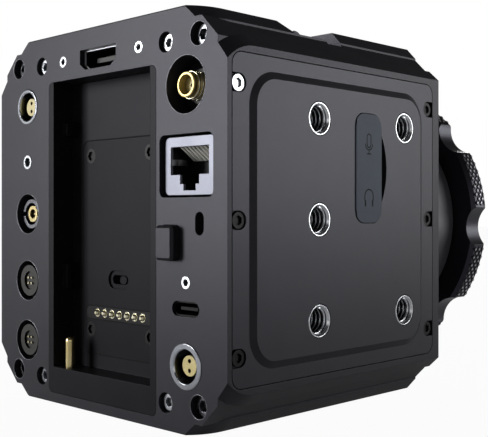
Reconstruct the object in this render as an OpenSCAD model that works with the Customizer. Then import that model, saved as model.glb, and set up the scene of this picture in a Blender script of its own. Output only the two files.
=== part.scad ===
// Box-style digital cinema camera with a battery bay in its rear face and a
// lobed lens-lock ring on its front. The lens looks along -Y, the battery bay
// faces +Y, +Z is up, and the origin is the tripod thread in the bottom face.

/* [Body] */
// Width across the two raised side faces
body_w = 91.3; // [90:0.1:100]
// Height between the raised top and bottom faces
body_h = 96.8; // [96:0.1:106]
// Depth from the rear face to the front face
body_d = 82.45; // [82:0.05:92]
// Height of the raised lands over the corner body
land_rise = 3; // [2.4:0.1:3.4]
// Run of the bevel round each land
land_bevel = 2.8; // [2:0.1:2.8]
// From the top and bottom faces to the side land's edge
side_land_margin = 9.9; // [9.6:0.1:11]
// From the side faces in to the top and bottom land's edge
top_land_margin = 10.4; // [10.2:0.1:12]
// Radius of the lands' corners at the rear end
land_corner_r = 11.8; // [10:0.1:13]
// From the rear face to the middle of those corners
land_corner_dy = 8.5; // [7:0.1:9]
// Chamfer of the four long corners
corner_chamfer = 5.1; // [4.6:0.1:5.8]
// Small chamfer on the rear face's top and bottom edges
edge_chamfer = 0.3; // [0.3:0.1:1]
// Depth of the rear cover
cover_d = 9.2; // [9:0.1:12]
// Wall thickness of the main body under its lands
wall = 3; // [2.6:0.1:3.4]
// Thickness of the front wall
front_wall = 4.45; // [4:0.05:6]
// Depth of the screw rim inside the main body's rear opening
rim_d = 8; // [6:0.5:9]
// Width of the screw rim below the main body's ceiling
rim_w = 4; // [3:0.1:4.4]

/* [Top] */
// Distance from the rear face to the top notch
notch_start = 27; // [25:0.5:28]
// Distance from the rear face to the front block
notch_end = 48.3; // [46:0.1:49]
// Length of the deeper groove in front of the front block
notch_groove = 5.6; // [4:0.1:7]
// Extra depth of that groove
notch_groove_depth = 1; // [0.6:0.1:1.6]
// Span of the lanyard eyelet
eyelet_span = 5.4; // [4:0.1:6]
// Height of the eyelet over the notch floor
eyelet_h = 1.5; // [1.2:0.1:2]
// Thickness of the eyelet's bar
eyelet_bar = 0.8; // [0.6:0.1:1]
// Length of the status display across the camera
display_w = 30; // [24:1:32]
// Length of the status display along the camera
display_l = 16; // [12:1:18]
// Thickness of the display window
display_t = 1.6; // [1:0.1:2.4]
// Radius of the record button
rec_r = 5; // [4:0.1:5.4]
// Radius of the power button
power_r = 3; // [2.4:0.1:3.4]
// Radius of the menu keys
key_r = 2.6; // [2:0.1:3]
// Spacing of the menu keys
key_pitch = 8; // [7.4:0.1:8.6]

/* [Side panels] */
// Thickness of the side panels
panel_t = 2; // [1.8:0.1:2.4]
// From the rear face to the panels' rear edge
panel_rear_margin = 1.28; // [1:0.02:1.6]
// From the panels' front edge to the front face
panel_front_margin = 3.05; // [2.6:0.05:3.6]
// Width of the land's rim above and below the panels
panel_rim = 1.6; // [1.2:0.1:2]
// Corner radius of the panels
panel_corner_r = 3; // [2:0.1:4]
// Seam round the panels
seam = 0.2; // [0.1:0.05:0.25]
// Height of the plate raised on each panel
plate_rise = 0.8; // [0.5:0.1:1.2]
// Width of the bevel round the raised plate
plate_bevel = 1.7; // [1.2:0.1:2]
// Corner radius of the raised plate
plate_corner_r = 8; // [6:0.5:9]
// From the panel's rear and front edges to the raised plate
plate_margin_y = 5.4; // [5:0.1:6]
// From the panel's top and bottom edges to the raised plate
plate_margin_z = 3.5; // [3:0.1:5]
// Radius of the panel screws' heads
panel_head_r = 1.85; // [1.6:0.05:1.95]
// From the panel's rear and front edges to its screws
panel_screw_inset = 2.35; // [2.2:0.05:2.6]
// Height of the corner panel screws over the middle
panel_screw_z = 30; // [28:0.5:31]

/* [Threads] */
// Radius of the quarter-inch threads
quarter_r = 3.175; // [3.1:0.005:3.2]
// Radius of the three-eighths-inch thread
large_r = 4.7625; // [4.6:0.0025:4.8]
// Outer radius of the quarter-inch inserts
insert_r = 4.1; // [3.9:0.05:4.4]
// Outer radius of the three-eighths-inch insert
large_insert_r = 6.2; // [5.8:0.1:7]
// From the rear face to the rear column of side threads
thread_rear = 29.9; // [29.4:0.1:30.4]
// Spacing of the two columns of side threads
thread_pitch_y = 34.9; // [34:0.1:35.6]
// Spacing of the side threads up and down
thread_pitch_z = 24; // [22:0.5:24.5]
// Spacing of the two threads in the top face
top_thread_pitch = 34; // [30:1:38]
// From the rear face to the top threads
top_thread_dy = 17.5; // [16:0.5:20]
// Distance between the two tripod threads
tripod_pitch = 18; // [16:1:22]

/* [Battery bay] */
// From the side faces in to the battery bay
bay_side = 25.85; // [25.4:0.05:26.2]
// Depth of the battery bay
bay_d = 6.4; // [6.2:0.1:6.8]
// Height of the bay's top edge over the middle
bay_top = 36.1; // [35.4:0.1:36.2]
// Depth of the bay's floor below the middle
bay_bottom = 38.9; // [38:0.1:39.4]
// Width of the bay frame's side strips
bay_strip = 2.2; // [2:0.1:2.3]
// Height of the bay frame's foot under the bay
bay_foot = 6.9; // [6.7:0.1:7]
// Corner radius of the bay frame
bay_corner_r = 1.6; // [1:0.1:2]
// Thickness of the bay frame's back
bay_back = 2.4; // [2:0.1:2.5]
// How far the guide lugs stand out from the bay's walls
lug_out = 1.9; // [1.5:0.1:2.2]
// Depth of the guide lugs' rear faces
lug_depth = 3; // [2.8:0.1:3.2]
// Thickness of the guide lugs
lug_t = 1.5; // [1.2:0.1:1.8]
// Width of the battery plate
plate_w = 31.2; // [31:0.1:32]
// Thickness of the battery plate
plate_t = 1.2; // [1:0.1:1.4]
// Pitch of the seven battery contacts
contact_pitch = 3.07; // [3:0.01:3.2]
// Radius of the spring contacts
contact_r = 0.72; // [0.6:0.02:0.8]
// How far the spring contacts stand out
contact_out = 0.7; // [0.5:0.05:0.8]
// Radius of the ejector pin
ejector_r = 1.25; // [1:0.05:1.3]
// Height of the ejector pin over the bay's floor
ejector_h = 8.3; // [7:0.1:9]
// Travel of the ejector pin
ejector_travel = 5.6; // [4:0.1:5.8]
// Width of the release button
release_w = 6; // [5:0.1:6.2]
// Height of the release button
release_h = 8; // [6:0.1:8.4]
// How far the release button stands out
release_out = 2.4; // [2:0.1:3]
// Travel of the release button and of the latch
release_travel = 1.6; // [1.2:0.1:1.6]

/* [Rear ports] */
// From the side faces in to the middle of the port columns
port_inset = 13.45; // [13.1:0.05:13.7]
// Radius of the round port openings
port_r = 5.4; // [5.2:0.1:5.6]
// Inner radius of the two-pin sockets
two_pin_r = 3.77; // [3.4:0.05:4]
// Radius of the antenna socket's recess
antenna_recess_r = 6.6; // [6:0.1:6.8]
// Depth of the antenna socket's recess
antenna_recess_d = 6; // [5:0.1:6.5]
// Thread radius of the antenna socket
antenna_r = 3.17; // [3:0.01:3.2]
// Width of the network socket
network_w = 16.4; // [16:0.1:16.8]
// Height of the network socket
network_h = 13.2; // [13:0.1:13.6]

/* [Lens mount] */
// Radius of the mount's neck
neck_r = 34.6; // [34:0.1:35.5]
// Length of the mount's neck
neck_l = 25.45; // [23:0.05:28]
// Bore radius of the neck
neck_bore_r = 29; // [28:0.1:30]
// Radius of the lens throat
throat_r = 27; // [26.5:0.1:27.5]
// Outer radius of the lens seat
seat_r = 33; // [32.8:0.1:33.2]
// Outer radius of the lens-lock ring
ring_r = 41.9; // [41:0.1:43]
// Length of the lens-lock ring along the lens axis
ring_l = 6.9; // [6.4:0.1:7.4]
// Number of grip lobes on the ring
ring_lobes = 9; // [7:1:10]
// Depth of the finger scallops between the lobes
scallop_depth = 2.9; // [2:0.1:3.2]
// Radius of the finger scallops
scallop_r = 7.7; // [6:0.1:8]
// Number of locking claws inside the ring
ring_claws = 4; // [3:1:4]
// From the lens seat's face back to the image plane
flange_distance = 52; // [51:0.1:53]

/* [Running clearances] */
// Radial clearance of running pins
run_gap = 0.05; // [0.03:0.01:0.08]
// Gap round buttons, lids and sliding keys
slide_gap = 0.15; // [0.1:0.05:0.2]
// Clearance of fixed pieces in their seats
fit_gap = 0.03; // [0.02:0.01:0.05]

/* [Hidden] */
$fn = 48;
eps = 0.01;
cut_over = 1;
half_w = body_w / 2;
bay_w = body_w - 2 * bay_side;
port_x = half_w - port_inset;
half_h = body_h / 2;
rear_y = body_d / 2;
front_y = -body_d / 2;
mid_z = half_h;

// Corner body and lands
core_x = half_w - land_rise;
core_z = half_h - land_rise;
side_land_z = half_h - side_land_margin;
top_land_x = half_w - top_land_margin;
corner_sum = core_x + core_z - corner_chamfer;
cavity_x = core_x - wall;
cavity_z = core_z - wall;
cavity_chamfer = 9;
cavity_end = body_d - front_wall;
notch_slope = 4;
notch_floor = core_z;

// Side panels
panel_l = body_d - panel_rear_margin - panel_front_margin;
panel_h = 2 * (side_land_z - panel_rim);
panel_mid = panel_rear_margin + panel_l / 2;
plate_l = panel_l - 2 * plate_margin_y;
plate_h = panel_h - 2 * plate_margin_z;
panel_screw_rows = [-panel_screw_z, 0, panel_screw_z];
panel_screw_dys = [panel_rear_margin + panel_screw_inset,
                   panel_rear_margin + panel_l - panel_screw_inset];
panel_head_t = 0.9;
panel_head_sink = 0.35;
panel_recess_gap = 0.25;
shank_r = 1;
side_threads = [[thread_rear, thread_pitch_z], [thread_rear, 0], [thread_rear, -thread_pitch_z],
                [thread_rear + thread_pitch_y, thread_pitch_z],
                [thread_rear + thread_pitch_y, -thread_pitch_z]];
top_thread_l = half_h - cavity_z;
insert_lip = 0.5;

// Rubber lid over the audio jacks, on the left panel
flap_w = 11.1;
flap_h = 27.7;
flap_r = 3.6;
flap_t = 1.4;
flap_dy = thread_rear + thread_pitch_y / 2 + 1.6;
flap_z = 12.85;
flap_stand = 0.2;
flap_floor_gap = 0.3;
scoop_r = 18.3;
scoop_out = 2.2;
scoop_d = 1.2;
jack_pitch = 14;
jack_r = 3;
jack_bore_r = 1.78;
jack_tail = 4;

// Card door and cooling slots, on the right panel
door_w = 18;
door_h = 52;
door_r = 2.5;
door_t = 1.4;
door_scoop_out = 2;
door_scoop_r = 9;
card_w = 3.7;
card_l = 43;
card_depth = 34;
card_shell = 1.6;
vent_count = 9;
vent_pitch = 4.6;
vent_l = 11;
vent_w = 2;
vent_dy = cover_d + 1 + vent_l / 2;

// Rear cover screws
corner_inset = [9.15, 7];
corner_screw = [half_w - corner_inset.x, mid_z - corner_inset.y];
corner_recess_r = 2.7;
corner_recess_d = 3.2;
corner_head_r = 2.3;
corner_head_t = 1.7;
inner_screw_gap = 3.3;
inner_screw_x = bay_w / 2 + bay_strip + inner_screw_gap;
upper_row = 7.5;
lower_row = 6.4;
inner_screw_top = mid_z - upper_row;
inner_screw_bottom = lower_row - mid_z;
inner_recess_r = 2.4;
inner_recess_d = 2.6;
inner_head_r = 1.95;
inner_head_t = 1.5;
cover_shank_r = 1.2;
cover_shank_l = cover_d + rim_d - 1.5;
front_shank_l = 14;
hex_share = 0.62;
port_screw_r = 1.45;
port_screw_l = 4;
hdmi_screw_inset = [4.3, 7.4];
hdmi_screw = [bay_w / 2 - hdmi_screw_inset.x, mid_z - hdmi_screw_inset.y];
port_screws_at = [hdmi_screw, [-hdmi_screw.x, hdmi_screw.y], [-port_x, -14.05]];

// Battery bay
bay_frame_w = bay_w + 2 * bay_strip;
bay_frame_t = bay_d + bay_back;
bay_h = bay_top + bay_bottom;
bay_floor = mid_z - bay_bottom;
lugs = [[23.8, 3.1], [-15.1, 6.3]];
lug_relief = 2.8;
lug_relief_d = 1.4;
plate_top = 20.6;
plate_bottom = -35.3;
plate_r = 2.5;
plate_mid = (plate_top + plate_bottom) / 2;
plate_screw_x = 12.05;
plate_screws_z = [16.6, -28.9];
plate_head_r = 2.05;
plate_head_t = 0.9;
strip_w = 28.4;
strip_h = 3.5;
strip_z = -24.35;
strip_t = 2.2;
contact_count = 7;
sleeve_r = 1.08;
sleeve_t = 0.5;
contact_travel = 0.5;
contact_l = strip_t + contact_out - contact_travel - 0.1;
switch_x = 0.2;
switch_z = -15.4;
switch_recess = [8.6, 4.6];
switch_slot = [6.2, 2.3];
switch_recess_d = 0.5;
switch_knob = 2.7;
switch_travel = switch_slot.x - switch_knob - 2 * slide_gap;
ejector_inset = 4.6;
ejector_x = bay_w / 2 - ejector_inset;
ejector_dy = 2.1;
ejector_l = ejector_h + 0.6;
release_gap = 5.1;
release_x = -bay_frame_w / 2 - release_gap;
release_z = -5.2;
release_r = 1;
release_bevel = 0.6;
release_in = 1.4;
release_flange = 0.7;
release_flange_t = 1;
latch_h = 4;
latch_t = 1.5;
latch_dy = release_in + release_flange_t + release_travel + 0.7;
latch_out = 1.5;
latch_tail = 2;

// Rear ports, as heights over the middle of the rear face
video_z = 1.4;
remote_z = 15.5;
control_z = 30.6;
four_pin_z = [-16.8, -33];
power_z = -32.9;
antenna_z = 30.5;
network_z = 12.3;
usb_z = -20;
lock_inset = 8.85;
lock_x = half_w - lock_inset;
lock_z = -0.75;
lock_w = 2.8;
lock_h = 5.2;
hdmi_x = 0.6;
hdmi_inset = 7.9;
hdmi_z = mid_z - hdmi_inset;
board_t = 1.6;
port_depth = cover_d;
control_flange_r = 4.8;
power_flange_r = 5.3;
flange_out = 0.25;
flange_t = 0.8;
two_pin_insert_r = 2.35;
two_pin_sink = 1.2;
two_pin_floor = 3.4;
wall_of_shell = 0.7;
two_pin_hole_r = 0.5;
two_pin_pitch = 2.2;
four_pin_face_r = 4.2;
four_pin_core_r = 2.46;
four_pin_sink = 0.5;
four_pin_pitch = 1.5;
four_pin_r = 0.3;
video_sink = 1.2;
video_r = 4;
video_bore_r = 3;
video_core_r = 2.2;
video_core_bore_r = 1.3;
video_notch_w = 1.1;
video_notch_d = 1;
remote_r = 1.9;
remote_bore_r = 1.25;
antenna_bore_r = 2.3;
antenna_flange_r = 4.2;
antenna_flange_t = 1;
thread_depth = 0.45;
thread_pitch = 0.9;
network_sink = 1.2;
network_corner_r = 1.3;
network_mouth_r = 1.6;
network_surround = [0.8, 0.55];
network_jaw_w = 12.8;
network_jaw_top = 4.4;
network_jaw_h = 6.4;
network_key_w = 6.4;
network_key_h = 2.1;
network_clip_w = 4.1;
network_clip_h = 1.5;
network_d = 8;
network_pin_count = 8;
network_pin_pitch = 1.27;
usb_w = 9.1;
usb_h = 3.4;
usb_sink = 0.6;
usb_wall = 0.35;
hdmi_w = 14.8;
hdmi_h = 5.1;
hdmi_side_h = 3.6;
hdmi_foot_w = 10.4;
hdmi_sink = 1.5;
hdmi_wall = 0.3;
hdmi_tongue_sink = 3.5;

// Lens mount, as distances from the front face along the lens axis
seat_rise = 3.5;
seat_front = neck_l + seat_rise;
ring_start = neck_l + 0.4;
ring_front = ring_start + ring_l;
seat_lip_r = seat_r + 1;
seat_lip_t = 1.5;
ring_lip_t = 1.4;
ring_chamfer = 1.1;
ring_front_chamfer = 0.5;
ring_claw_t = 1.6;
ring_claw_r = 30.4;
claw_gap = 44;
lobe_start = 17.5;
mount_z = -0.5;
hinge_r = 0.3;
hinge_set = 0.15;
hinge_over = 0.5;
seat_screw_r = 1.6;
seat_screw_at = 31;
seat_screw_l = 5;
locating_r = 1.5;
locating_out = 1.2;

// Inside
image_dy = body_d + seat_front - flange_distance;
glass_t = 1;
package_t = 2.4;
sensor_w = 44;
sensor_h = 31;
window_w = 38;
window_h = 25;
chamber_wall = 5;
sensor_board_w = 60;
sensor_board_h = 64;
standoff_r = 2.5;
standoff_l = 10;
standoff_inset = 4;
sensor_board_dy = image_dy - package_t - board_t;
main_board_dy = sensor_board_dy - standoff_l - board_t;
main_board_w = 70;
main_board_h = 68;
sink_w = 50;
sink_base = 3;
fin_count = 9;
fin_t = 1.6;
fin_l = 8;
fan_w = 40;
fan_t = 10;
fan_bore_r = 19;
fan_blade_r = 18.4;
fan_hub_r = 8;
fan_blades = 7;
fan_pin_r = 1.5;
fan_dy = main_board_dy - sink_base - fin_l - fan_t;
key_sink = 0.2;
key_flange = 0.8;
key_flange_t = 1;
rec_inset = 23.65;
power_inset = 20.65;
key_inset = 19.65;
rec_at = [rec_inset - half_w, 62];
power_at = [power_inset - half_w, 73.5];
keys_at = [half_w - key_inset, 65];
display_at = [3, 65];
door_dy = main_board_dy + board_t + standoff_l / 2;

BODY = "#34353a";
PANEL = "#3b3c41";
STEEL = "#c9ccd1";
GOLD = "#d9b04f";
BLACK = "#17181a";
RUBBER = "#33383d";
CREAM = "#e9e2bd";

// Placement: local +Z points out of the named face, depth goes into it
module on_rear(x, z, depth = 0) translate([x, rear_y - depth, mid_z + z]) rotate([-90, 0, 0]) children();
module on_left(dy, z, depth = 0) translate([-half_w + depth, rear_y - dy, mid_z + z]) rotate([0, -90,
    0]) children();
module on_right(dy, z, depth = 0) mirror([1, 0, 0]) on_left(dy, z, depth) children();
module on_front(x, z, out = 0) translate([x, front_y - out, mid_z + z]) rotate([90, 0, 0]) children();
module on_top(x, dy, depth = 0) translate([x, rear_y - dy, body_h - depth]) children();
module on_bottom(x, y, depth = 0) translate([x, y, depth]) mirror([0, 0, 1]) children();
// A prism of an X-Z outline between two distances from the rear face
module section_prism(dy0, dy1) translate([0, rear_y - dy0, mid_z]) rotate([90, 0, 0])
    linear_extrude(dy1 - dy0) children();

module rounded_rect(w, h, r) {
    square([w, h - 2 * r], center = true);
    square([w - 2 * r, h], center = true);
    for (x = [-1, 1], y = [-1, 1]) translate([x * (w / 2 - r), y * (h / 2 - r)]) circle(r);
}
module slot_shape(w, h) {
    r = min(w, h) / 2;
    square([w > h ? w - 2 * r : w, w > h ? h : h - 2 * r], center = true);
    for (k = [-1, 1]) translate(w > h ? [k * (w / 2 - r), 0] : [0, k * (h / 2 - r)]) circle(r);
}
// A slab with rounded corners whose sides lean in by run over its rise
module bevel_slab(w, h, r, rise, run) {
    rotate([90, 0, 90]) translate([0, 0, r - w / 2]) linear_extrude(w - 2 * r)
        polygon([[-h / 2, 0], [h / 2, 0], [h / 2 - run, rise], [run - h / 2, rise]]);
    rotate([90, 0, 0]) translate([0, 0, r - h / 2]) linear_extrude(h - 2 * r)
        polygon([[-w / 2, 0], [w / 2, 0], [w / 2 - run, rise], [run - w / 2, rise]]);
    for (x = [-1, 1], y = [-1, 1]) translate([x * (w / 2 - r), y * (h / 2 - r), 0])
        cylinder(h = rise, r1 = r, r2 = r - run);
}

// Outline of the body across the lens axis, one quarter and mirrored all round
function mirrored(q) = concat(q, [for (i = [len(q) - 1:-1:0]) [-q[i].x, q[i].y]],
                              [for (p = q) [-p.x, -p.y]], [for (i = [len(q) - 1:-1:0]) [q[i].x, -q[i].y]]);
side_foot_z = side_land_z + land_bevel;
top_foot_x = top_land_x + land_bevel;
body_outline = mirrored([[half_w, side_land_z], [core_x, side_foot_z], [corner_sum - side_foot_z,
    side_foot_z],
                         [top_foot_x, corner_sum - top_foot_x], [top_foot_x, core_z], [top_land_x,
                             half_h]]);
core_outline = mirrored([[core_x, corner_sum - core_x], [corner_sum - core_z, core_z]]);
function cavity_outline(x, z) = mirrored([[x, z - cavity_chamfer], [x - cavity_chamfer, z]]);

module both_ends() {
    children();
    translate([0, 0, body_h]) mirror([0, 0, 1]) children();
}
module both_sides() {
    children();
    mirror([1, 0, 0]) children();
}
// Rounded corner of a land: a cone over a short skirt that reaches into the core
module land_corner(skirt) {
    translate([0, 0, -skirt]) cylinder(h = skirt, r = land_corner_r + land_bevel);
    cylinder(h = land_rise, r1 = land_corner_r + land_bevel, r2 = land_corner_r);
}
// Body from the rear face to where the lands' corners end
module rear_end() {
    section_prism(0, land_corner_dy) polygon(core_outline);
    section_prism(0, land_corner_dy) square([body_w, 2 * (side_land_z - land_corner_r)], center = true);
    section_prism(0, land_corner_dy) square([2 * (top_land_x - land_corner_r), body_h], center = true);
    intersection() {
        section_prism(0, land_corner_dy) square([body_w, body_h], center = true);
        both_ends() both_sides() {
            on_left(land_corner_dy, side_land_z - land_corner_r, land_rise)
                land_corner(core_x - corner_sum + side_foot_z);
            on_top(land_corner_r - top_land_x, land_corner_dy, land_rise)
                land_corner(core_z - corner_sum + top_foot_x);
        }
    }
}
module panel_pocket() {
    on_left(panel_mid, 0, panel_t) linear_extrude(panel_t + land_rise)
        rounded_rect(panel_h, panel_l, panel_corner_r);
}
module panel_screw_places() {
    for (dy = panel_screw_dys, z = panel_screw_rows) on_left(dy, z) children();
}
module thread_places() {
    for (at = side_threads) on_left(at.x, at.y) children();
}
module cover_screw_places() {
    for (x = [-1, 1], z = [-1, 1]) on_rear(x * corner_screw.x, z * corner_screw.y) children();
    for (x = [-1, 1], z = [inner_screw_top, inner_screw_bottom]) on_rear(x * inner_screw_x, z) children();
}
// Straight hole or pin into the face that the children are placed on
module drill(r, depth, over = 1) translate([0, 0, -depth]) cylinder(h = depth + over, r = r);
module pin(r, from, to) translate([0, 0, -to]) cylinder(h = to - from, r = r);
module plate(from, to) translate([0, 0, -to]) linear_extrude(to - from) children();

module lanyard_eyelet() {
    arc_r = (eyelet_span * eyelet_span / 4 + eyelet_h * eyelet_h) / (2 * eyelet_h);
    foot_sink = 0.4;
    intersection() {
        translate([eyelet_bar / 2 - top_land_x, rear_y - notch_start - notch_slope - eyelet_span / 2,
                   mid_z + notch_floor + eyelet_h - arc_r])
            rotate([0, 90, 0]) rotate_extrude() translate([arc_r - eyelet_bar / 2, 0])
                square(eyelet_bar, center = true);
        translate([-half_w, front_y, mid_z + notch_floor - foot_sink])
            cube([half_w, body_d, eyelet_h + foot_sink]);
    }
}
module top_notch() {
    over = 1;
    rotate([90, 0, 90]) translate([0, mid_z, -half_w]) linear_extrude(body_w)
        polygon([for (p = [[notch_start - over * notch_slope / land_rise, half_h + over],
                           [notch_start + notch_slope, notch_floor],
                           [notch_end - notch_groove, notch_floor],
                           [notch_end - notch_groove, notch_floor - notch_groove_depth],
                           [notch_end, notch_floor - notch_groove_depth],
                           [notch_end, half_h + over]]) [rear_y - p.x, p.y]]);
}
module key_bore(r, at) on_top(at.x, at.y) drill(r + slide_gap, land_rise + wall + eps);
module card_window(grow) on_right(door_dy, 0) plate(-eps, card_depth + panel_t)
    square([card_l + 2 * (card_shell + grow), card_w + 2 * (card_shell + grow)], center = true);
module vent_slots() {
    for (k = [0:vent_count - 1])
        on_right(vent_dy, (k - (vent_count - 1) / 2) * vent_pitch) plate(-land_rise, half_w - cavity_x + 1)
            slot_shape(vent_w, vent_l);
}

module main_body() {
    color(BODY) difference() {
        section_prism(cover_d, body_d) polygon(body_outline);
        top_notch();
        section_prism(cover_d + rim_d, cavity_end) polygon(cavity_outline(cavity_x, cavity_z));
        section_prism(cover_d - 1, cover_d + rim_d + eps) polygon(cavity_outline(cavity_x,
            cavity_z - rim_w));
        both_sides() panel_pocket();
        both_sides() thread_places() drill(insert_r + fit_gap, half_w - cavity_x + 1);
        both_sides() panel_screw_places() drill(shank_r + fit_gap, panel_t + wall - 0.5);
        cover_screw_places() drill(cover_shank_r + fit_gap, cover_shank_l + 0.3);
        for (k = [-1, 1]) on_left(flap_dy, flap_z + k * jack_pitch / 2) drill(jack_r + fit_gap,
            half_w - cavity_x + 1);
        intersection() {
            card_window(fit_gap);
            translate([cavity_x - 1, front_y, 0]) cube([half_w, body_d, body_h]);
        }
        vent_slots();
        on_front(0, mount_z) drill(neck_bore_r, front_wall + 1);
        for (x = [-1, 1], z = [-1, 1]) on_front(x * corner_screw.x, z * corner_screw.y) {
            drill(corner_recess_r, corner_recess_d);
            drill(cover_shank_r + fit_gap, front_shank_l + 0.3);
        }
        key_bore(rec_r, rec_at);
        key_bore(power_r, power_at);
        for (k = [-1, 0, 1]) key_bore(key_r, keys_at + [0, k * key_pitch]);
        on_top(display_at.x, display_at.y) plate(-1, display_t)
            rounded_rect(display_w + 2 * fit_gap, display_l + 2 * fit_gap, 2);
        both_sides() on_top(top_thread_pitch / 2, top_thread_dy) drill(insert_r + fit_gap, top_thread_l);
        on_bottom(0, 0) drill(insert_r + fit_gap, top_thread_l + eps);
        on_bottom(0, tripod_pitch) drill(large_insert_r + fit_gap, top_thread_l + eps);
    }
    color(BODY) lanyard_eyelet();
}

// Openings in the rear cover, round the ports of both columns
module port_openings() {
    on_rear(port_x, control_z) drill(control_flange_r, flange_t - flange_out);
    on_rear(port_x, control_z) drill(two_pin_r + wall_of_shell, cover_d + 1);
    on_rear(port_x, remote_z) drill(remote_r, cover_d + 1);
    on_rear(port_x, video_z) drill(port_r, cover_d + 1);
    for (z = four_pin_z) on_rear(port_x, z) drill(port_r, cover_d + 1);
    on_rear(-port_x, antenna_z) drill(antenna_recess_r, antenna_recess_d);
    on_rear(-port_x, antenna_z) drill(antenna_r, cover_d + 1);
    on_rear(-port_x, network_z) plate(-1, cover_d + 1)
        rounded_rect(network_w + 2 * network_surround.x, network_h + 2 * network_surround.y,
                     network_mouth_r);
    on_rear(-lock_x, lock_z) plate(-1, cover_d - 3) slot_shape(lock_w, lock_h);
    on_rear(-port_x, usb_z) plate(-1, cover_d + 1) slot_shape(usb_w, usb_h);
    on_rear(-port_x, power_z) drill(power_flange_r, flange_t - flange_out);
    on_rear(-port_x, power_z) drill(two_pin_r + wall_of_shell, cover_d + 1);
    on_rear(hdmi_x, hdmi_z) plate(-1, cover_d + 1) hdmi_outline(0);
}
module hdmi_outline(inset) {
    x = hdmi_w / 2 - inset;
    foot = hdmi_foot_w / 2 - inset / 2;
    top = hdmi_h / 2 - inset;
    shoulder = top - hdmi_side_h + 1.3 * inset;
    // The rear face's local y runs down, so the outline is drawn upside down
    polygon([[-x, -top], [x, -top], [x, -shoulder], [foot, top], [-foot, top], [-x, -shoulder]]);
}
module bay_frame_outline(grow) {
    w = bay_frame_w + 2 * grow;
    h = bay_h + bay_foot + 2 * grow;
    translate([0, (bay_bottom + bay_foot - bay_top) / 2]) rounded_rect(w, h, bay_corner_r + grow);
}
module latch_slot() {
    translate([-(bay_frame_w / 2 + latch_tail + 1), rear_y - latch_dy - latch_t - slide_gap,
               mid_z + release_z - latch_h / 2 - slide_gap])
        cube([bay_strip + latch_tail + 2, latch_t + 2 * slide_gap, latch_h + 2 * slide_gap]);
}
module rear_cover() {
    color(BODY) difference() {
        union() {
            rear_end();
            section_prism(land_corner_dy, cover_d) polygon(body_outline);
        }
        both_ends() translate([0, rear_y, body_h]) rotate([45, 0, 0])
            cube([body_w, edge_chamfer * sqrt(2), edge_chamfer * sqrt(2)], center = true);
        on_rear(0, 0) plate(-1, cover_d + 1) bay_frame_outline(fit_gap);
        port_openings();
        both_sides() panel_pocket();
        both_sides() panel_screw_places() drill(shank_r + fit_gap, panel_t + wall - 0.5);
        cover_screw_places() drill(cover_shank_r + fit_gap, cover_d + 1);
        for (x = [-1, 1], z = [-1, 1]) on_rear(x * corner_screw.x, z * corner_screw.y)
            drill(corner_recess_r, corner_recess_d);
        for (x = [-1, 1], z = [inner_screw_top, inner_screw_bottom]) on_rear(x * inner_screw_x, z)
            drill(inner_recess_r, inner_recess_d);
        for (at = port_screws_at) on_rear(at.x, at.y) drill(port_screw_r, port_screw_l);
        on_rear(release_x, release_z) plate(-1, cover_d + 1)
            rounded_rect(release_w + 2 * slide_gap, release_h + 2 * slide_gap, release_r + slide_gap);
        on_rear(release_x, release_z) plate(release_in - fit_gap, cover_d + 1)
            square([release_w + 2 * (release_flange + slide_gap),
                release_h + 2 * (release_flange + slide_gap)],
                   center = true);
        latch_slot();
    }
}

// Panel shared by both sides: a thin sheet with a raised, bevelled plate
module panel_blank() {
    on_left(panel_mid, 0, panel_t) linear_extrude(panel_t)
        rounded_rect(panel_h - 2 * seam, panel_l - 2 * seam, panel_corner_r - seam);
    on_left(panel_mid, 0) bevel_slab(plate_h, plate_l, plate_corner_r, plate_rise, plate_bevel);
}
module panel_holes() {
    thread_places() drill(insert_r + fit_gap, panel_t + 1, plate_rise + 1);
    panel_screw_places() drill(shank_r + fit_gap, panel_t + 1);
    panel_screw_places() drill(panel_head_r + panel_recess_gap, panel_head_t + panel_head_sink);
    for (k = [0, 1], z = panel_screw_rows) on_left(panel_screw_dys[k] + (k - 0.5) * panel_screw_inset, z)
        plate(-1, panel_head_t + panel_head_sink)
            square([2 * (panel_head_r + panel_recess_gap), panel_screw_inset], center = true);
}
// Lid hinged along one long edge; hinge is 1 at its rear edge and -1 at its front edge
module hinged_lid(h, w, r, t, hinge) {
    axis_y = hinge * (w / 2 - slide_gap - hinge_r);
    module outline() rounded_rect(h - 2 * slide_gap, w - 2 * slide_gap, r - slide_gap);
    linear_extrude(t - hinge_r) outline();
    intersection() {
        linear_extrude(t) outline();
        translate([-h, hinge > 0 ? -w : axis_y + hinge_set, 0])
            cube([2 * h, w + abs(axis_y) - hinge_set, t]);
    }
    translate([r - h / 2 - hinge_over, axis_y, t - hinge_r]) rotate([0, 90, 0])
        cylinder(h = h - 2 * (r - hinge_over), r = hinge_r);
}
module lid_pocket(h, w, r, t) plate(-1, t - flap_stand + flap_floor_gap) rounded_rect(h, w, r);
module thumb_scoop(w, radius, out, side) plate(-1, scoop_d) intersection() {
    translate([0, side * (w / 2 + out - radius)]) circle(radius);
    translate([0, side * w / 2]) square([2 * radius, 2 * out], center = true);
}
module left_panel() {
    color(PANEL) difference() {
        panel_blank();
        panel_holes();
        on_left(flap_dy, flap_z, -plate_rise) lid_pocket(flap_h, flap_w, flap_r, flap_t);
        on_left(flap_dy, flap_z, -plate_rise) thumb_scoop(flap_w, scoop_r, scoop_out, -1);
        for (k = [-1, 1]) on_left(flap_dy, flap_z + k * jack_pitch / 2) drill(jack_r + fit_gap,
            panel_t + 1);
    }
}
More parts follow.
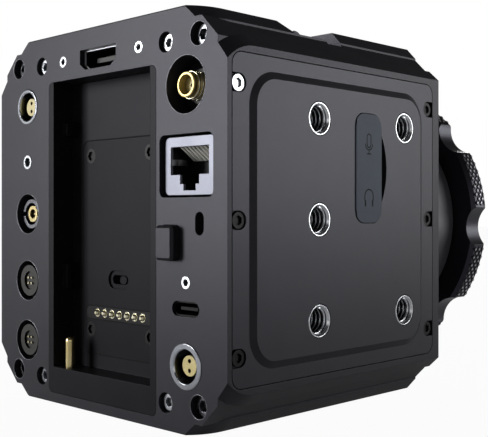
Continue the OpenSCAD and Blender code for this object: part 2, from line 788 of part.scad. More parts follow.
module right_panel() {
    color(PANEL) difference() {
        mirror([1, 0, 0]) panel_blank();
        mirror([1, 0, 0]) panel_holes();
        on_right(door_dy, 0, -plate_rise) lid_pocket(door_h, door_w, door_r, door_t);
        on_right(door_dy, 0, -plate_rise) thumb_scoop(door_w, door_scoop_r, door_scoop_out, 1);
        on_right(door_dy, 0) plate(-1, panel_t + 1) square([card_l, card_w], center = true);
        vent_slots();
    }
}
// Cap screw with a hex socket; its head runs from one depth to another
module cap_screw(head_r, from, to, shank, length) {
    socket_r = head_r * hex_share;
    difference() {
        pin(head_r, from, to);
        translate([0, 0, -from - (to - from) * hex_share]) cylinder(h = to, r = socket_r, $fn = 6);
    }
    pin(shank, to - eps, length);
}
module panel_screw() cap_screw(panel_head_r, panel_head_sink, panel_head_sink + panel_head_t, shank_r,
                               panel_t + wall - 1);
module panel_screws() {
    color(BLACK) {
        for (dy = panel_screw_dys, z = panel_screw_rows)
            if (dy != panel_screw_dys[0] || z != panel_screw_z) on_left(dy, z) panel_screw();
        mirror([1, 0, 0]) panel_screw_places() panel_screw();
    }
}
module bright_panel_screw() {
    color(STEEL) on_left(panel_screw_dys[0], panel_screw_z) panel_screw();
}
// Threaded insert from a height over its face down to a depth, with a bevelled mouth
module insert(outer, bore, over, depth) {
    rotate_extrude() polygon([[bore, -depth], [outer, -depth], [outer, over - insert_lip / 2],
                              [outer - insert_lip / 2, over], [bore + insert_lip, over], [bore,
                                  over - insert_lip]]);
}
// Insert whose bore runs straight to the face, as in the bottom face
module plain_insert(outer, bore, depth) difference() {
    pin(outer, 0, depth);
    drill(bore, depth + 1);
}
module quarter_inserts() {
    color(STEEL) {
        both_sides() thread_places() insert(insert_r, quarter_r, plate_rise, half_w - cavity_x);
        both_sides() on_top(top_thread_pitch / 2, top_thread_dy) insert(insert_r, quarter_r, 0,
            top_thread_l);
        on_bottom(0, 0) plain_insert(insert_r, quarter_r, top_thread_l);
    }
}
module large_insert() {
    color(STEEL) on_bottom(0, tripod_pitch) plain_insert(large_insert_r, large_r, top_thread_l);
}
module audio_flap() {
    color(RUBBER) on_left(flap_dy, flap_z, flap_t - flap_stand - plate_rise)
        hinged_lid(flap_h, flap_w, flap_r, flap_t, 1);
}
module audio_jacks() {
    color(BLACK) for (k = [-1, 1]) on_left(flap_dy, flap_z + k * jack_pitch / 2) difference() {
        pin(jack_r, flap_t - flap_stand + flap_floor_gap - plate_rise, half_w - cavity_x + jack_tail);
        drill(jack_bore_r, half_w - cavity_x);
    }
}
module card_door() {
    color(PANEL) on_right(door_dy, 0, door_t - flap_stand - plate_rise)
        hinged_lid(door_h, door_w, door_r, door_t, -1);
}
module card_slot() {
    color(BLACK) difference() {
        on_right(door_dy, 0) plate(panel_t, panel_t + card_depth)
            square([card_l + 2 * card_shell, card_w + 2 * card_shell], center = true);
        on_right(door_dy, 0) plate(panel_t - 1, panel_t + card_depth - card_shell)
            square([card_l, card_w], center = true);
    }
}

module battery_plate_outline(grow) translate([0, -plate_mid])
    rounded_rect(plate_w + 2 * grow, plate_top - plate_bottom + 2 * grow, plate_r + grow);
module bay_frame() {
    color(BODY) {
        difference() {
            on_rear(0, 0) plate(0, bay_frame_t) bay_frame_outline(0);
            on_rear(0, 0) plate(-1, bay_d) translate([0, (bay_bottom - bay_top) / 2 - 1])
                square([bay_w, bay_h + 2], center = true);
            on_rear(0, 0) plate(bay_d - eps, bay_d + plate_t) battery_plate_outline(fit_gap);
            for (x = [-1, 1], lug = lugs) on_rear(x * (bay_w - lug_relief) / 2, lug.x)
                plate(bay_d - 1, bay_d + lug_relief_d) square([lug_relief, lug.y + 1], center = true);
            on_rear(0, strip_z) plate(bay_d, bay_d + strip_t) slot_shape(strip_w, strip_h);
            on_rear(switch_x, switch_z) plate(bay_d, bay_d + strip_t) slot_shape(switch_slot.x,
                switch_slot.y);
            for (x = [-1, 1], z = plate_screws_z) on_rear(x * plate_screw_x, z)
                drill(shank_r + fit_gap, bay_frame_t - 0.3);
            translate([ejector_x, rear_y - ejector_dy, bay_floor])
                drill(ejector_r + run_gap, ejector_travel + ejector_l - ejector_h + 0.1);
            latch_slot();
        }
        for (x = [-1, 1], lug = lugs) on_rear(x * (bay_w - lug_out + 1) / 2, lug.x)
            plate(lug_depth, lug_depth + lug_t) square([lug_out + 1, lug.y], center = true);
    }
}
module battery_plate() {
    color(PANEL) difference() {
        on_rear(0, 0) plate(bay_d, bay_d + plate_t) battery_plate_outline(0);
        on_rear(0, strip_z) plate(0, bay_frame_t) slot_shape(strip_w + 2 * fit_gap, strip_h + 2 * fit_gap);
        on_rear(switch_x, switch_z) plate(0, bay_d + switch_recess_d) slot_shape(switch_recess.x,
            switch_recess.y);
        on_rear(switch_x, switch_z) plate(0, bay_frame_t) slot_shape(switch_slot.x, switch_slot.y);
        for (x = [-1, 1], z = plate_screws_z) on_rear(x * plate_screw_x, z) {
            drill(shank_r + fit_gap, bay_frame_t);
            drill(plate_head_r + fit_gap, bay_d + plate_head_t);
        }
    }
}
module battery_plate_screws() {
    color(BLACK) for (x = [-1, 1], z = plate_screws_z) on_rear(x * plate_screw_x, z)
        cap_screw(plate_head_r, bay_d, bay_d + plate_head_t, shank_r, bay_frame_t - 0.5);
}
module contact_places() {
    for (k = [0:contact_count - 1]) on_rear((k - (contact_count - 1) / 2) * contact_pitch, strip_z)
        children();
}
module contact_strip() {
    color(BLACK) difference() {
        on_rear(0, strip_z) plate(bay_d, bay_d + strip_t) slot_shape(strip_w, strip_h);
        contact_places() drill(sleeve_r + fit_gap, bay_d + sleeve_t);
        contact_places() drill(contact_r + run_gap, bay_frame_t);
    }
}
module contact_sleeves() {
    color(GOLD) contact_places() difference() {
        pin(sleeve_r, bay_d, bay_d + sleeve_t);
        drill(contact_r + run_gap, bay_frame_t);
    }
}
module contact_pins() {
    tip = contact_r / 2;
    color(GOLD) contact_places() {
        translate([0, 0, -bay_d + contact_out - contact_l]) cylinder(h = contact_l - tip, r = contact_r);
        translate([0, 0, -bay_d + contact_out - tip]) cylinder(h = tip, r1 = contact_r,
            r2 = contact_r - tip);
    }
}
module slide_switch() {
    knob_h = switch_slot.y - 2 * slide_gap;
    color(PANEL) on_rear(switch_x - switch_travel / 2, switch_z)
        plate(bay_d + switch_recess_d - 0.3, bay_d + strip_t - 0.3) slot_shape(switch_knob, knob_h);
}
module ejector_pin() {
    color(GOLD) translate([ejector_x, rear_y - ejector_dy, bay_floor + ejector_h - ejector_l]) {
        cylinder(h = ejector_l - ejector_r, r = ejector_r);
        translate([0, 0, ejector_l - ejector_r]) sphere(ejector_r);
    }
}
module release_button() {
    color(BODY) on_rear(release_x, release_z) {
        plate(-release_out + release_bevel, release_in) rounded_rect(release_w, release_h, release_r);
        translate([0, 0, release_out - release_bevel])
            bevel_slab(release_w, release_h, release_r, release_bevel, release_bevel);
        plate(release_in, release_in + release_flange_t)
            square([release_w + 2 * release_flange, release_h + 2 * release_flange], center = true);
    }
}
module battery_latch() {
    color(STEEL) translate([-(bay_frame_w / 2 + latch_tail), rear_y - latch_dy - latch_t,
                            mid_z + release_z - latch_h / 2])
        cube([bay_strip + latch_tail + latch_out, latch_t, latch_h]);
}

module hdmi_socket() {
    color(BLACK) on_rear(hdmi_x, hdmi_z) {
        difference() {
            plate(hdmi_sink, port_depth) hdmi_outline(fit_gap);
            plate(0, port_depth - 1) hdmi_outline(hdmi_wall);
        }
        plate(hdmi_tongue_sink, port_depth - 1 + eps) square([hdmi_foot_w - 1, 1.2], center = true);
    }
}
module two_pin_shell(flange_r) {
    rotate_extrude() polygon([[two_pin_insert_r + fit_gap, -port_depth],
        [two_pin_r + wall_of_shell - fit_gap, -port_depth],
                              [two_pin_r + wall_of_shell - fit_gap, flange_out - flange_t],
                              [flange_r - fit_gap, flange_out - flange_t],
                              [flange_r - fit_gap, flange_out / 2], [flange_r - flange_out, flange_out],
                              [two_pin_r + flange_out, flange_out], [two_pin_r, 0], [two_pin_r,
                                  -two_pin_floor],
                              [two_pin_insert_r + fit_gap, -two_pin_floor]]);
}
module two_pin_shells() {
    color(STEEL) {
        on_rear(port_x, control_z) two_pin_shell(control_flange_r);
        on_rear(-port_x, power_z) two_pin_shell(power_flange_r);
    }
}
module two_pin_insert() {
    difference() {
        pin(two_pin_insert_r, two_pin_sink, port_depth);
        for (k = [-1, 1]) translate([0, k * two_pin_pitch / 2, 0]) drill(two_pin_hole_r, two_pin_floor);
    }
}
module two_pin_inserts() {
    color(CREAM) {
        on_rear(port_x, control_z) two_pin_insert();
        on_rear(-port_x, power_z) two_pin_insert();
    }
}
module remote_jack() {
    color(STEEL) on_rear(port_x, remote_z) difference() {
        pin(remote_r - fit_gap, -flange_out / 2, port_depth);
        drill(remote_bore_r, port_depth - 2);
    }
}
module video_socket_shell() {
    base = port_depth / 2;
    color(STEEL) on_rear(port_x, video_z) difference() {
        union() {
            pin(video_r, video_sink, port_depth);
            pin(port_r - fit_gap, base, port_depth);
        }
        drill(video_bore_r, base);
        plate(0, video_sink + video_notch_d) square([2 * video_r + 1, video_notch_w], center = true);
        drill(video_core_r + fit_gap, port_depth + 1);
    }
}
module video_socket_core() {
    color(GOLD) on_rear(port_x, video_z) {
        difference() {
            pin(video_core_r, video_sink + 0.4, port_depth);
            drill(video_core_bore_r, port_depth - 3);
        }
        pin(four_pin_r, video_sink + 1, port_depth - 2);
    }
}
module four_pin_sockets() {
    color(BLACK) for (z = four_pin_z) on_rear(port_x, z) difference() {
        union() {
            pin(four_pin_face_r, four_pin_sink, port_depth);
            pin(port_r - fit_gap, 3, port_depth);
        }
        drill(four_pin_core_r, four_pin_sink + 0.6);
        four_pin_places() drill(four_pin_r + fit_gap, port_depth - 2);
    }
}
module four_pin_places() for (x = [-1, 1], y = [-1, 1]) translate([x, y] * four_pin_pitch / 2) children();
module four_pin_contacts() {
    color(GOLD) for (z = four_pin_z) on_rear(port_x, z) four_pin_places()
        pin(four_pin_r, four_pin_sink + 0.1, port_depth - 2);
}
module antenna_socket() {
    turns = floor((antenna_recess_d - antenna_flange_t - 1.4) / thread_pitch);
    rim = 0.9;
    color(GOLD) on_rear(-port_x, antenna_z) rotate_extrude() polygon(concat(
                [[antenna_bore_r, -port_depth], [antenna_r - fit_gap, -port_depth],
                 [antenna_r - fit_gap, -antenna_recess_d], [antenna_flange_r, -antenna_recess_d],
                 [antenna_flange_r, antenna_flange_t - antenna_recess_d],
                 [antenna_r - thread_depth, antenna_flange_t - antenna_recess_d]],
                [for (k = [turns - 1:-1:0], e = [1, 0.5])
                    [antenna_r - fit_gap - (e == 1 ? thread_depth : 0),
                 -rim - thread_depth - (k + e) * thread_pitch]],
                [[antenna_r - thread_depth, -rim - thread_depth], [antenna_r - thread_depth, -rim],
                 [antenna_r - thread_depth / 2, -rim], [antenna_r - thread_depth / 2, -0.2],
                 [antenna_r - thread_depth, 0], [antenna_bore_r, 0]]));
}
module antenna_insulator() {
    color(CREAM) on_rear(-port_x, antenna_z) difference() {
        pin(antenna_bore_r - fit_gap, 2, port_depth);
        drill(four_pin_r * 1.5, port_depth - 2);
    }
}
module network_jaw() {
    // Local y runs down on the rear face, so the latch keyway is at +y
    translate([0, network_jaw_h / 2 - network_jaw_top]) square([network_jaw_w, network_jaw_h],
        center = true);
    translate([0, network_jaw_h - network_jaw_top + network_key_h / 2 - eps])
        square([network_key_w, network_key_h + eps], center = true);
    translate([0, network_jaw_h - network_jaw_top + network_key_h + network_clip_h / 2 - 2 * eps])
        square([network_clip_w, network_clip_h + 2 * eps], center = true);
}
module network_socket() {
    color(STEEL) on_rear(-port_x, network_z) difference() {
        plate(network_sink, port_depth)
            rounded_rect(network_w, network_h, network_corner_r);
        plate(0, network_d) network_jaw();
    }
}
module network_contacts() {
    pin_w = 0.5;
    reach = 4;
    color(GOLD) for (k = [0:network_pin_count - 1])
        on_rear(-port_x + (k - (network_pin_count - 1) / 2) * network_pin_pitch, network_z)
            translate([-pin_w / 2, 0, 0]) rotate([0, 90, 0]) linear_extrude(pin_w)
                polygon([[network_sink + 1.4, -network_jaw_top], [network_sink + 1.9, -network_jaw_top],
                         [network_d - 0.5, reach - network_jaw_top - 1.4], [network_d,
                             reach - network_jaw_top - 1.4],
                         [network_d, reach - network_jaw_top - 1], [network_d - 1.2,
                             reach - network_jaw_top - 1]]);
}
module usb_socket() {
    color(BLACK) on_rear(-port_x, usb_z) {
        difference() {
            plate(usb_sink, port_depth) slot_shape(usb_w - 2 * fit_gap, usb_h - 2 * fit_gap);
            plate(0, port_depth - 2) slot_shape(usb_w - 2 * usb_wall, usb_h - 2 * usb_wall);
        }
        plate(usb_sink + 0.6, port_depth - 2 + eps) square([usb_w - usb_h, 0.7], center = true);
    }
}
module corner_screws() {
    color(BLACK) for (x = [-1, 1], z = [-1, 1]) {
        on_rear(x * corner_screw.x, z * corner_screw.y)
            cap_screw(corner_head_r, corner_recess_d - corner_head_t, corner_recess_d, cover_shank_r,
                cover_shank_l);
        on_front(x * corner_screw.x, z * corner_screw.y)
            cap_screw(corner_head_r, corner_recess_d - corner_head_t, corner_recess_d, cover_shank_r,
                front_shank_l);
    }
}
module rear_inner_screws() {
    color(STEEL) for (x = [-1, 1], z = [inner_screw_top, inner_screw_bottom]) on_rear(x * inner_screw_x, z)
        cap_screw(inner_head_r, inner_recess_d - inner_head_t, inner_recess_d, cover_shank_r,
            cover_shank_l);
}
module port_screws() {
    color(STEEL) for (at = port_screws_at) on_rear(at.x, at.y) difference() {
        pin(port_screw_r - fit_gap, 0, port_screw_l);
        translate([0, 0, -1]) cylinder(h = 2, r = port_screw_r * hex_share, $fn = 6);
    }
}
module port_board() {
    color("#1d4a2c") difference() {
        section_prism(cover_d, cover_d + board_t)
            polygon(cavity_outline(cavity_x - slide_gap, cavity_z - rim_w - slide_gap));
        cover_screw_places() drill(cover_shank_r + slide_gap, cover_shank_l + 1);
    }
}

module mount_neck() {
    color(BODY) on_front(0, mount_z) difference() {
        cylinder(h = neck_l, r = neck_r);
        translate([0, 0, -cut_over]) cylinder(h = neck_l + 2 * cut_over, r = neck_bore_r);
        seat_screw_places() translate([0, 0, neck_l]) drill(shank_r + fit_gap, seat_screw_l);
    }
}
module seat_screw_places() for (k = [0:3]) rotate([0, 0, 45 + 90 * k]) translate([seat_screw_at, 0, 0])
    children();
module lens_seat() {
    color(STEEL) on_front(0, mount_z) difference() {
        union() {
            translate([0, 0, neck_l]) cylinder(h = seat_front - neck_l, r = seat_r);
            translate([0, 0, seat_front - seat_lip_t]) cylinder(h = seat_lip_t, r = seat_lip_r);
        }
        translate([0, 0, neck_l - cut_over]) cylinder(h = seat_rise + 2 * cut_over, r = throat_r);
        seat_screw_places() translate([0, 0, seat_front]) drill(seat_screw_r + fit_gap, panel_head_t);
        seat_screw_places() translate([0, 0, seat_front]) drill(shank_r + fit_gap, seat_front);
        translate([0, seat_screw_at, seat_front]) drill(locating_r, seat_front - neck_l + 1);
    }
}
module seat_screws() {
    color(STEEL) on_front(0, mount_z, seat_front) seat_screw_places()
        cap_screw(seat_screw_r, 0, panel_head_t, shank_r, seat_front - neck_l + seat_screw_l - 0.5);
}
module locating_pin() {
    color(STEEL) on_front(0, mount_z + seat_screw_at, seat_front) {
        pin(locating_r - fit_gap, 0, seat_front - neck_l);
        cylinder(h = locating_out, r1 = locating_r - fit_gap, r2 = locating_r / 2);
    }
}
module lock_ring() {
    lip_r = seat_r + run_gap;
    groove_r = seat_lip_r + 0.3;
    lobe_step = 360 / ring_lobes;
    color(BLACK) on_front(0, mount_z) difference() {
        rotate_extrude() polygon([[lip_r, ring_start], [ring_r - ring_chamfer, ring_start],
                                  [ring_r, ring_start + ring_chamfer], [ring_r,
                                      ring_front - ring_front_chamfer],
                                  [ring_r - ring_front_chamfer, ring_front], [ring_claw_r, ring_front],
                                  [ring_claw_r, ring_front - ring_claw_t], [groove_r,
                                      ring_front - ring_claw_t],
                                  [groove_r, ring_start + ring_lip_t], [lip_r, ring_start + ring_lip_t]]);
        for (k = [0:ring_lobes - 1]) rotate([0, 0, 180 - lobe_start - lobe_step * (k + 0.5)])
            translate([ring_r + scallop_r - scallop_depth, 0, ring_start - 1])
                cylinder(h = ring_l + 2, r = scallop_r);
        for (k = [0:ring_claws - 1]) rotate([0, 0, k * 360 / ring_claws - claw_gap / 2])
            translate([0, 0, ring_front - ring_claw_t - 1]) rotate_extrude(angle = claw_gap)
                translate([ring_claw_r - 1, 0]) square([groove_r - ring_claw_r + 0.8, ring_claw_t + 2]);
    }
}

// Prism on the lens axis, between two distances from the rear face
module axis_prism(dy0, dy1) section_prism(dy0, dy1) translate([0, mount_z]) children();
module sensor_chamber() {
    chamber_start = sensor_board_dy + board_t;
    flange_l = 2;
    color(BLACK) difference() {
        union() {
            axis_prism(chamber_start, cavity_end)
                square([sensor_w + 2 * chamber_wall, sensor_h + 2 * chamber_wall], center = true);
            axis_prism(cavity_end - flange_l, cavity_end) circle(neck_bore_r + 3);
        }
        axis_prism(chamber_start - 1, body_d) square([window_w, window_h], center = true);
        axis_prism(chamber_start - 1, image_dy + glass_t)
            square([sensor_w + 2 * fit_gap, sensor_h + 2 * fit_gap], center = true);
    }
}
module sensor_package() {
    color("#20242c") axis_prism(image_dy - package_t, image_dy) square([sensor_w, sensor_h], center = true);
}
module sensor_glass() {
    color("#4a6b73") axis_prism(image_dy, image_dy + glass_t) square([sensor_w, sensor_h], center = true);
}
module sensor_board() {
    color("#1d4a2c") section_prism(sensor_board_dy, sensor_board_dy + board_t)
        square([sensor_board_w, sensor_board_h], center = true);
}
module board_standoffs() {
    color(STEEL) for (x = [-1, 1], z = [-1, 1])
        translate([x * (sensor_board_w / 2 - standoff_inset), rear_y - sensor_board_dy,
            mid_z + z * (sensor_board_h / 2 - standoff_inset)])
            rotate([-90, 0, 0]) cylinder(h = standoff_l, r = standoff_r);
}
module main_board() {
    color("#1d4a2c") section_prism(main_board_dy, main_board_dy + board_t)
        square([main_board_w, main_board_h], center = true);
}
module heat_sink() {
    color(STEEL) {
        section_prism(main_board_dy - sink_base, main_board_dy) square(sink_w, center = true);
        section_prism(main_board_dy - sink_base - fin_l, main_board_dy - sink_base + eps)
            for (k = [0:fin_count - 1]) translate([(k / (fin_count - 1) - 0.5) * (sink_w - fin_t), 0])
                square([fin_t, sink_w], center = true);
    }
}
// The fan's parts stand on its front face, with local +Z towards the rear
module at_fan() translate([0, rear_y - fan_dy - fan_t, mid_z]) rotate([-90, 0, 0]) children();
module fan_housing() {
    arm_t = 1.4;
    color(BLACK) at_fan() {
        difference() {
            linear_extrude(fan_t) rounded_rect(fan_w, fan_w, 3);
            translate([0, 0, -1]) cylinder(h = fan_t + 2, r = fan_bore_r);
        }
        intersection() {
            cylinder(h = arm_t, r = fan_bore_r + 1);
            union() {
                cylinder(h = arm_t, r = fan_hub_r);
                for (k = [0:2]) rotate([0, 0, 120 * k]) translate([0, -1.5, 0]) cube([fan_bore_r + 1,
                    3, arm_t]);
            }
        }
        cylinder(h = fan_t - 1, r = fan_pin_r);
    }
}
module fan_rotor() {
    base = 1.7;
    blade_pitch = 40;
    blade_t = 0.9;
    rotor_l = fan_t - base - 0.3;
    color(BLACK) at_fan() translate([0, 0, base]) difference() {
        intersection() {
            union() {
                cylinder(h = rotor_l, r = fan_hub_r);
                for (k = [0:fan_blades - 1]) rotate([0, 0, k * 360 / fan_blades])
                    translate([fan_hub_r - 1, 0, rotor_l / 2]) rotate([blade_pitch, 0, 0])
                        translate([0, -rotor_l, -blade_t / 2]) cube([fan_bore_r, 2 * rotor_l, blade_t]);
            }
            cylinder(h = rotor_l, r = fan_blade_r);
        }
        translate([0, 0, -1]) cylinder(h = fan_t, r = fan_pin_r + run_gap);
    }
}
module display_window() {
    color("#0b0d10") on_top(display_at.x, display_at.y) plate(0, display_t) rounded_rect(display_w,
        display_l, 2);
}
// Round key in the top face, held from below by a flange
module round_key(r) {
    pin(r, key_sink, land_rise + wall + slide_gap / 2);
    pin(r + key_flange, land_rise + wall + slide_gap / 2, land_rise + wall + slide_gap / 2 + key_flange_t);
}
module record_button() {
    color("#a02a25") on_top(rec_at.x, rec_at.y) round_key(rec_r);
}
module power_button() {
    color(BODY) on_top(power_at.x, power_at.y) round_key(power_r);
}
module menu_key(k) color(BODY) on_top(keys_at.x, keys_at.y + k * key_pitch) round_key(key_r);
module menu_key_rear() menu_key(-1);
module menu_key_middle() menu_key(0);
module menu_key_front() menu_key(1);

main_body();
rear_cover();
left_panel();
right_panel();
panel_screws();
bright_panel_screw();
quarter_inserts();
large_insert();
audio_flap();
audio_jacks();
card_door();
card_slot();
bay_frame();
battery_plate();
battery_plate_screws();
contact_strip();
contact_sleeves();
contact_pins();
slide_switch();
ejector_pin();
release_button();
battery_latch();
hdmi_socket();
two_pin_shells();
two_pin_inserts();
remote_jack();
video_socket_shell();
video_socket_core();
four_pin_sockets();
four_pin_contacts();
antenna_socket();
antenna_insulator();
network_socket();
network_contacts();
usb_socket();
corner_screws();
rear_inner_screws();
port_screws();
port_board();
mount_neck();
lens_seat();
seat_screws();
locating_pin();
lock_ring();
sensor_chamber();
sensor_package();
sensor_glass();
sensor_board();
board_standoffs();
main_board();
heat_sink();
fan_housing();
fan_rotor();
display_window();
record_button();
power_button();
menu_key_rear();
menu_key_middle();
menu_key_front();
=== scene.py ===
# Looks of a box-style digital cinema camera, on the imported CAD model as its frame
import math

import bpy
from mathutils import Matrix, Vector


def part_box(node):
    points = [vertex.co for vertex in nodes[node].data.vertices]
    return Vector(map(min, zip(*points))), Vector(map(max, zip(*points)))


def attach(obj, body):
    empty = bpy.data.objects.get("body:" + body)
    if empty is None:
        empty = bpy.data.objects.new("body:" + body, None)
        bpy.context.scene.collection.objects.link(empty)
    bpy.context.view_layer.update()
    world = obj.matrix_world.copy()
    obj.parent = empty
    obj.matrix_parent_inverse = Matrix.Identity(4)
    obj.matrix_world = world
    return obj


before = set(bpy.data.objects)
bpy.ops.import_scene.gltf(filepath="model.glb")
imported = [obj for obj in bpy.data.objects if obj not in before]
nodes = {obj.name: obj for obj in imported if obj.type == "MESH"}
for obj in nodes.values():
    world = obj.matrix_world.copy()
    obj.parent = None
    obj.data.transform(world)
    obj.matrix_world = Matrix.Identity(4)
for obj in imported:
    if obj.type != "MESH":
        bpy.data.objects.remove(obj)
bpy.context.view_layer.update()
bpy.ops.object.select_all(action="DESELECT")

MM = 0.001
X, Y, Z = 0, 1, 2


def span(name, axis):
    """Where a CAD node's box starts and ends on an axis, in millimetres to the micron."""
    return [round(corner[axis] / MM, 3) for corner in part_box(name)]


# Places on the body, in millimetres
REAR_Y = span("rear_cover", Y)[1]               # rear face
FRONT_Y = span("main_body", Y)[0]               # front face
MID_Z = sum(span("rear_cover", Z)) / 2          # middle height
PORT_X = -sum(span("network_socket", X)) / 2    # port columns, from the middle of the rear face
BAY_FLOOR_Y = span("battery_plate", Y)[1]
FLAP_DY = 49.0                                  # middle of the flap's signs, from the rear face
LENS_Z = MID_Z - 0.5                            # height of the lens axis
RING_R = 41.9                                   # lens-lock ring, at its lobes
RING_START = FRONT_Y - span("lock_ring", Y)[1]  # rear face of the ring, from the front face


def millimetres(x, y, z):
    """A place in the row frame, given in millimetres."""
    return Vector((x, y, z)) * MM


# Materials
def colour(hex_code):
    """sRGB hex to linear RGBA."""
    channels = [int(hex_code[i : i + 2], 16) / 255 for i in (1, 3, 5)]
    linear = [c / 12.92 if c <= 0.04045 else ((c + 0.055) / 1.055) ** 2.4 for c in channels]
    return (*linear, 1.0)


def add(tree, kind, inputs=None, **settings):
    """Adds a node, with its settings, and its inputs given as values or as sockets to link."""
    new = tree.nodes.new("ShaderNode" + kind)
    for name, value in settings.items():
        setattr(new, name, value)
    for socket, value in (inputs or {}).items():
        if isinstance(value, bpy.types.NodeSocket):
            tree.links.new(value, new.inputs[socket])
        else:
            new.inputs[socket].default_value = value
    return new


def start(name):
    """A new material, with its tree, its shader and its Object coordinates."""
    material = bpy.data.materials.new(name)
    material.use_nodes = True
    tree = material.node_tree
    tree.nodes.clear()
    shader = add(tree, "BsdfPrincipled")
    add(tree, "OutputMaterial", {"Surface": shader.outputs[0]})
    return material, tree, shader, add(tree, "TexCoord").outputs["Object"]


# A Mix node's sockets go by number, because its colours share their names with other sockets
AMOUNT, FIRST, SECOND, MIXED = 0, 6, 7, 2

PATCH_MM = 9.0           # tone patches, across
ROUGH_SPREAD = 0.05      # how far the grain moves the roughness
GRAIN_LOW, GRAIN_HIGH = 0.3, 0.7    # where the values of a noise mostly lie
TONE_LOW, TONE_HIGH = 0.7, 1.3      # and those of two noises added up
SHUT_IN, OPEN_AIR = 0.3, 0.72       # ambient occlusion at a spot in full painted shade, and at one with none


def surface(name, dark, light, rough, grain_mm, relief_mm, metal=0.0, edge_mm=0.0,
            stretch=(1, 1, 1), painted_shade=None, painted_shade_mm=1.0, gloss=0.5, cast="#ffffff"):
    """A finish with tone patches, a fine grain in tone, roughness and relief, and softened edges.

    The grain of blasted, turned and moulded skins is drawn two or three times as coarse as the
    real one, which is too fine to show.
    painted_shade is a darker tone painted as shade in sockets and bores about painted_shade_mm
    deep.
    gloss is the specular level: low for anodised skins, whose pores swallow light. cast tints it.
    """
    material, tree, shader, place = start(name)
    stretched = add(tree, "Mapping", {"Vector": place, "Scale": stretch}).outputs[0]
    fine = {"Vector": stretched, "Scale": 1 / (grain_mm * MM), "Detail": 3.0}
    grain = add(tree, "TexNoise", fine).outputs["Fac"]
    broad = {"Vector": place, "Scale": 1 / (PATCH_MM * MM)}
    patches = add(tree, "TexNoise", broad).outputs["Fac"]
    tone = add(tree, "Math", {0: grain, 1: patches}, operation="ADD").outputs[0]
    spread = {"Value": tone, "From Min": TONE_LOW, "From Max": TONE_HIGH}
    lightness = add(tree, "MapRange", spread).outputs[0]
    shades = {AMOUNT: lightness, FIRST: colour(dark), SECOND: colour(light)}
    mixed = add(tree, "Mix", shades, data_type="RGBA").outputs[MIXED]
    if painted_shade:
        # painted shade: the colour darkens where ambient occlusion finds the spot enclosed
        air = add(tree, "AmbientOcclusion", {"Distance": painted_shade_mm * MM}, samples=6).outputs["AO"]
        spread = {"Value": air, "From Min": SHUT_IN, "From Max": OPEN_AIR}
        clear = add(tree, "MapRange", spread).outputs[0]
        shades = {AMOUNT: clear, FIRST: colour(painted_shade), SECOND: mixed}
        mixed = add(tree, "Mix", shades, data_type="RGBA").outputs[MIXED]
    tree.links.new(mixed, shader.inputs["Base Color"])
    spread = {"Value": grain, "From Min": GRAIN_LOW, "From Max": GRAIN_HIGH,
              "To Min": rough - ROUGH_SPREAD, "To Max": rough + ROUGH_SPREAD}
    worn = add(tree, "MapRange", spread).outputs[0]
    tree.links.new(worn, shader.inputs["Roughness"])
    bump = add(tree, "Bump", {"Height": grain, "Strength": 1.0, "Distance": relief_mm * MM})
    if edge_mm:
        edge = add(tree, "Bevel", {"Radius": edge_mm * MM}, samples=4)
        tree.links.new(edge.outputs[0], bump.inputs["Normal"])
    tree.links.new(bump.outputs[0], shader.inputs["Normal"])
    shader.inputs["Metallic"].default_value = metal
    shader.inputs["Specular IOR Level"].default_value = gloss
    shader.inputs["Specular Tint"].default_value = colour(cast)
    return material


# Black hard-anodised aluminium, bead blasted: an even satin sheen and a fine grit
BLASTED = surface("anodised_aluminium_bead_blasted", "#1b1b1e", "#222225", 0.4, 0.22, 0.006,
                  edge_mm=0.12, gloss=0.2, cast="#eeeeff")
# The same metal, milled flat before it was anodised: the side panels, a touch smoother
PANEL = surface("anodised_aluminium_milled", "#1a1a1d", "#202023", 0.37, 0.2, 0.004, edge_mm=0.12,
                gloss=0.24, cast="#eeeeff")
# Anodised in the same bath but as milled: the battery bay, darker as painted shade of its recess
BAY = surface("anodised_aluminium_as_milled_painted_shade", "#101012", "#161618", 0.42, 0.2, 0.004, edge_mm=0.15,
              gloss=0.06, cast="#eeeeff")
# The bay's frame and louvres, the same metal, with softened edges, darker as painted shade of the
# recess
BAY_WALLS = surface("anodised_aluminium_bay_walls_painted_shade", "#121214", "#18181a", 0.42, 0.2, 0.004,
                    edge_mm=0.35, gloss=0.07, cast="#eeeeff")
# Deep black anodised aluminium, turned: faint rings round the lens axis
RING = surface("anodised_aluminium_turned", "#0b0b0d", "#121215", 0.32, 0.25, 0.004, edge_mm=0.25,
               stretch=(1, 6, 1), gloss=0.55, cast="#e6e6ff")
# The neck behind the ring: the same bath, brushed, and coloured lighter as painted light where
# light falls on it
NECK = surface("anodised_aluminium_brushed_painted_light", "#46464a", "#545458", 0.45, 0.2, 0.004, edge_mm=0.2,
               stretch=(1, 6, 1))
# Machined stainless steel: bright, with fine tool marks, and painted shade in its sockets
STEEL = surface("stainless_steel_machined", "#a4a7ad", "#c3c6cb", 0.26, 0.12, 0.003, metal=1.0,
                edge_mm=0.1, stretch=(5, 1, 1), painted_shade="#0c0c0e", painted_shade_mm=1.1)
# The same steel in the threaded inserts: bright faces, and bores darkened with painted shade
INSERT = surface("stainless_steel_threaded", "#d2d5da", "#eceef1", 0.22, 0.12, 0.003, metal=1.0,
                 edge_mm=0.1, painted_shade="#2c2d30", painted_shade_mm=5.0)
# Dark nickel on the video socket's barrel and the corner screws, with painted shade in their
# sockets
NICKEL = surface("dark_nickel_on_brass", "#6c6d72", "#8f9096", 0.2, 0.12, 0.002, metal=1.0,
                 edge_mm=0.12, painted_shade="#08080a", painted_shade_mm=1.0)
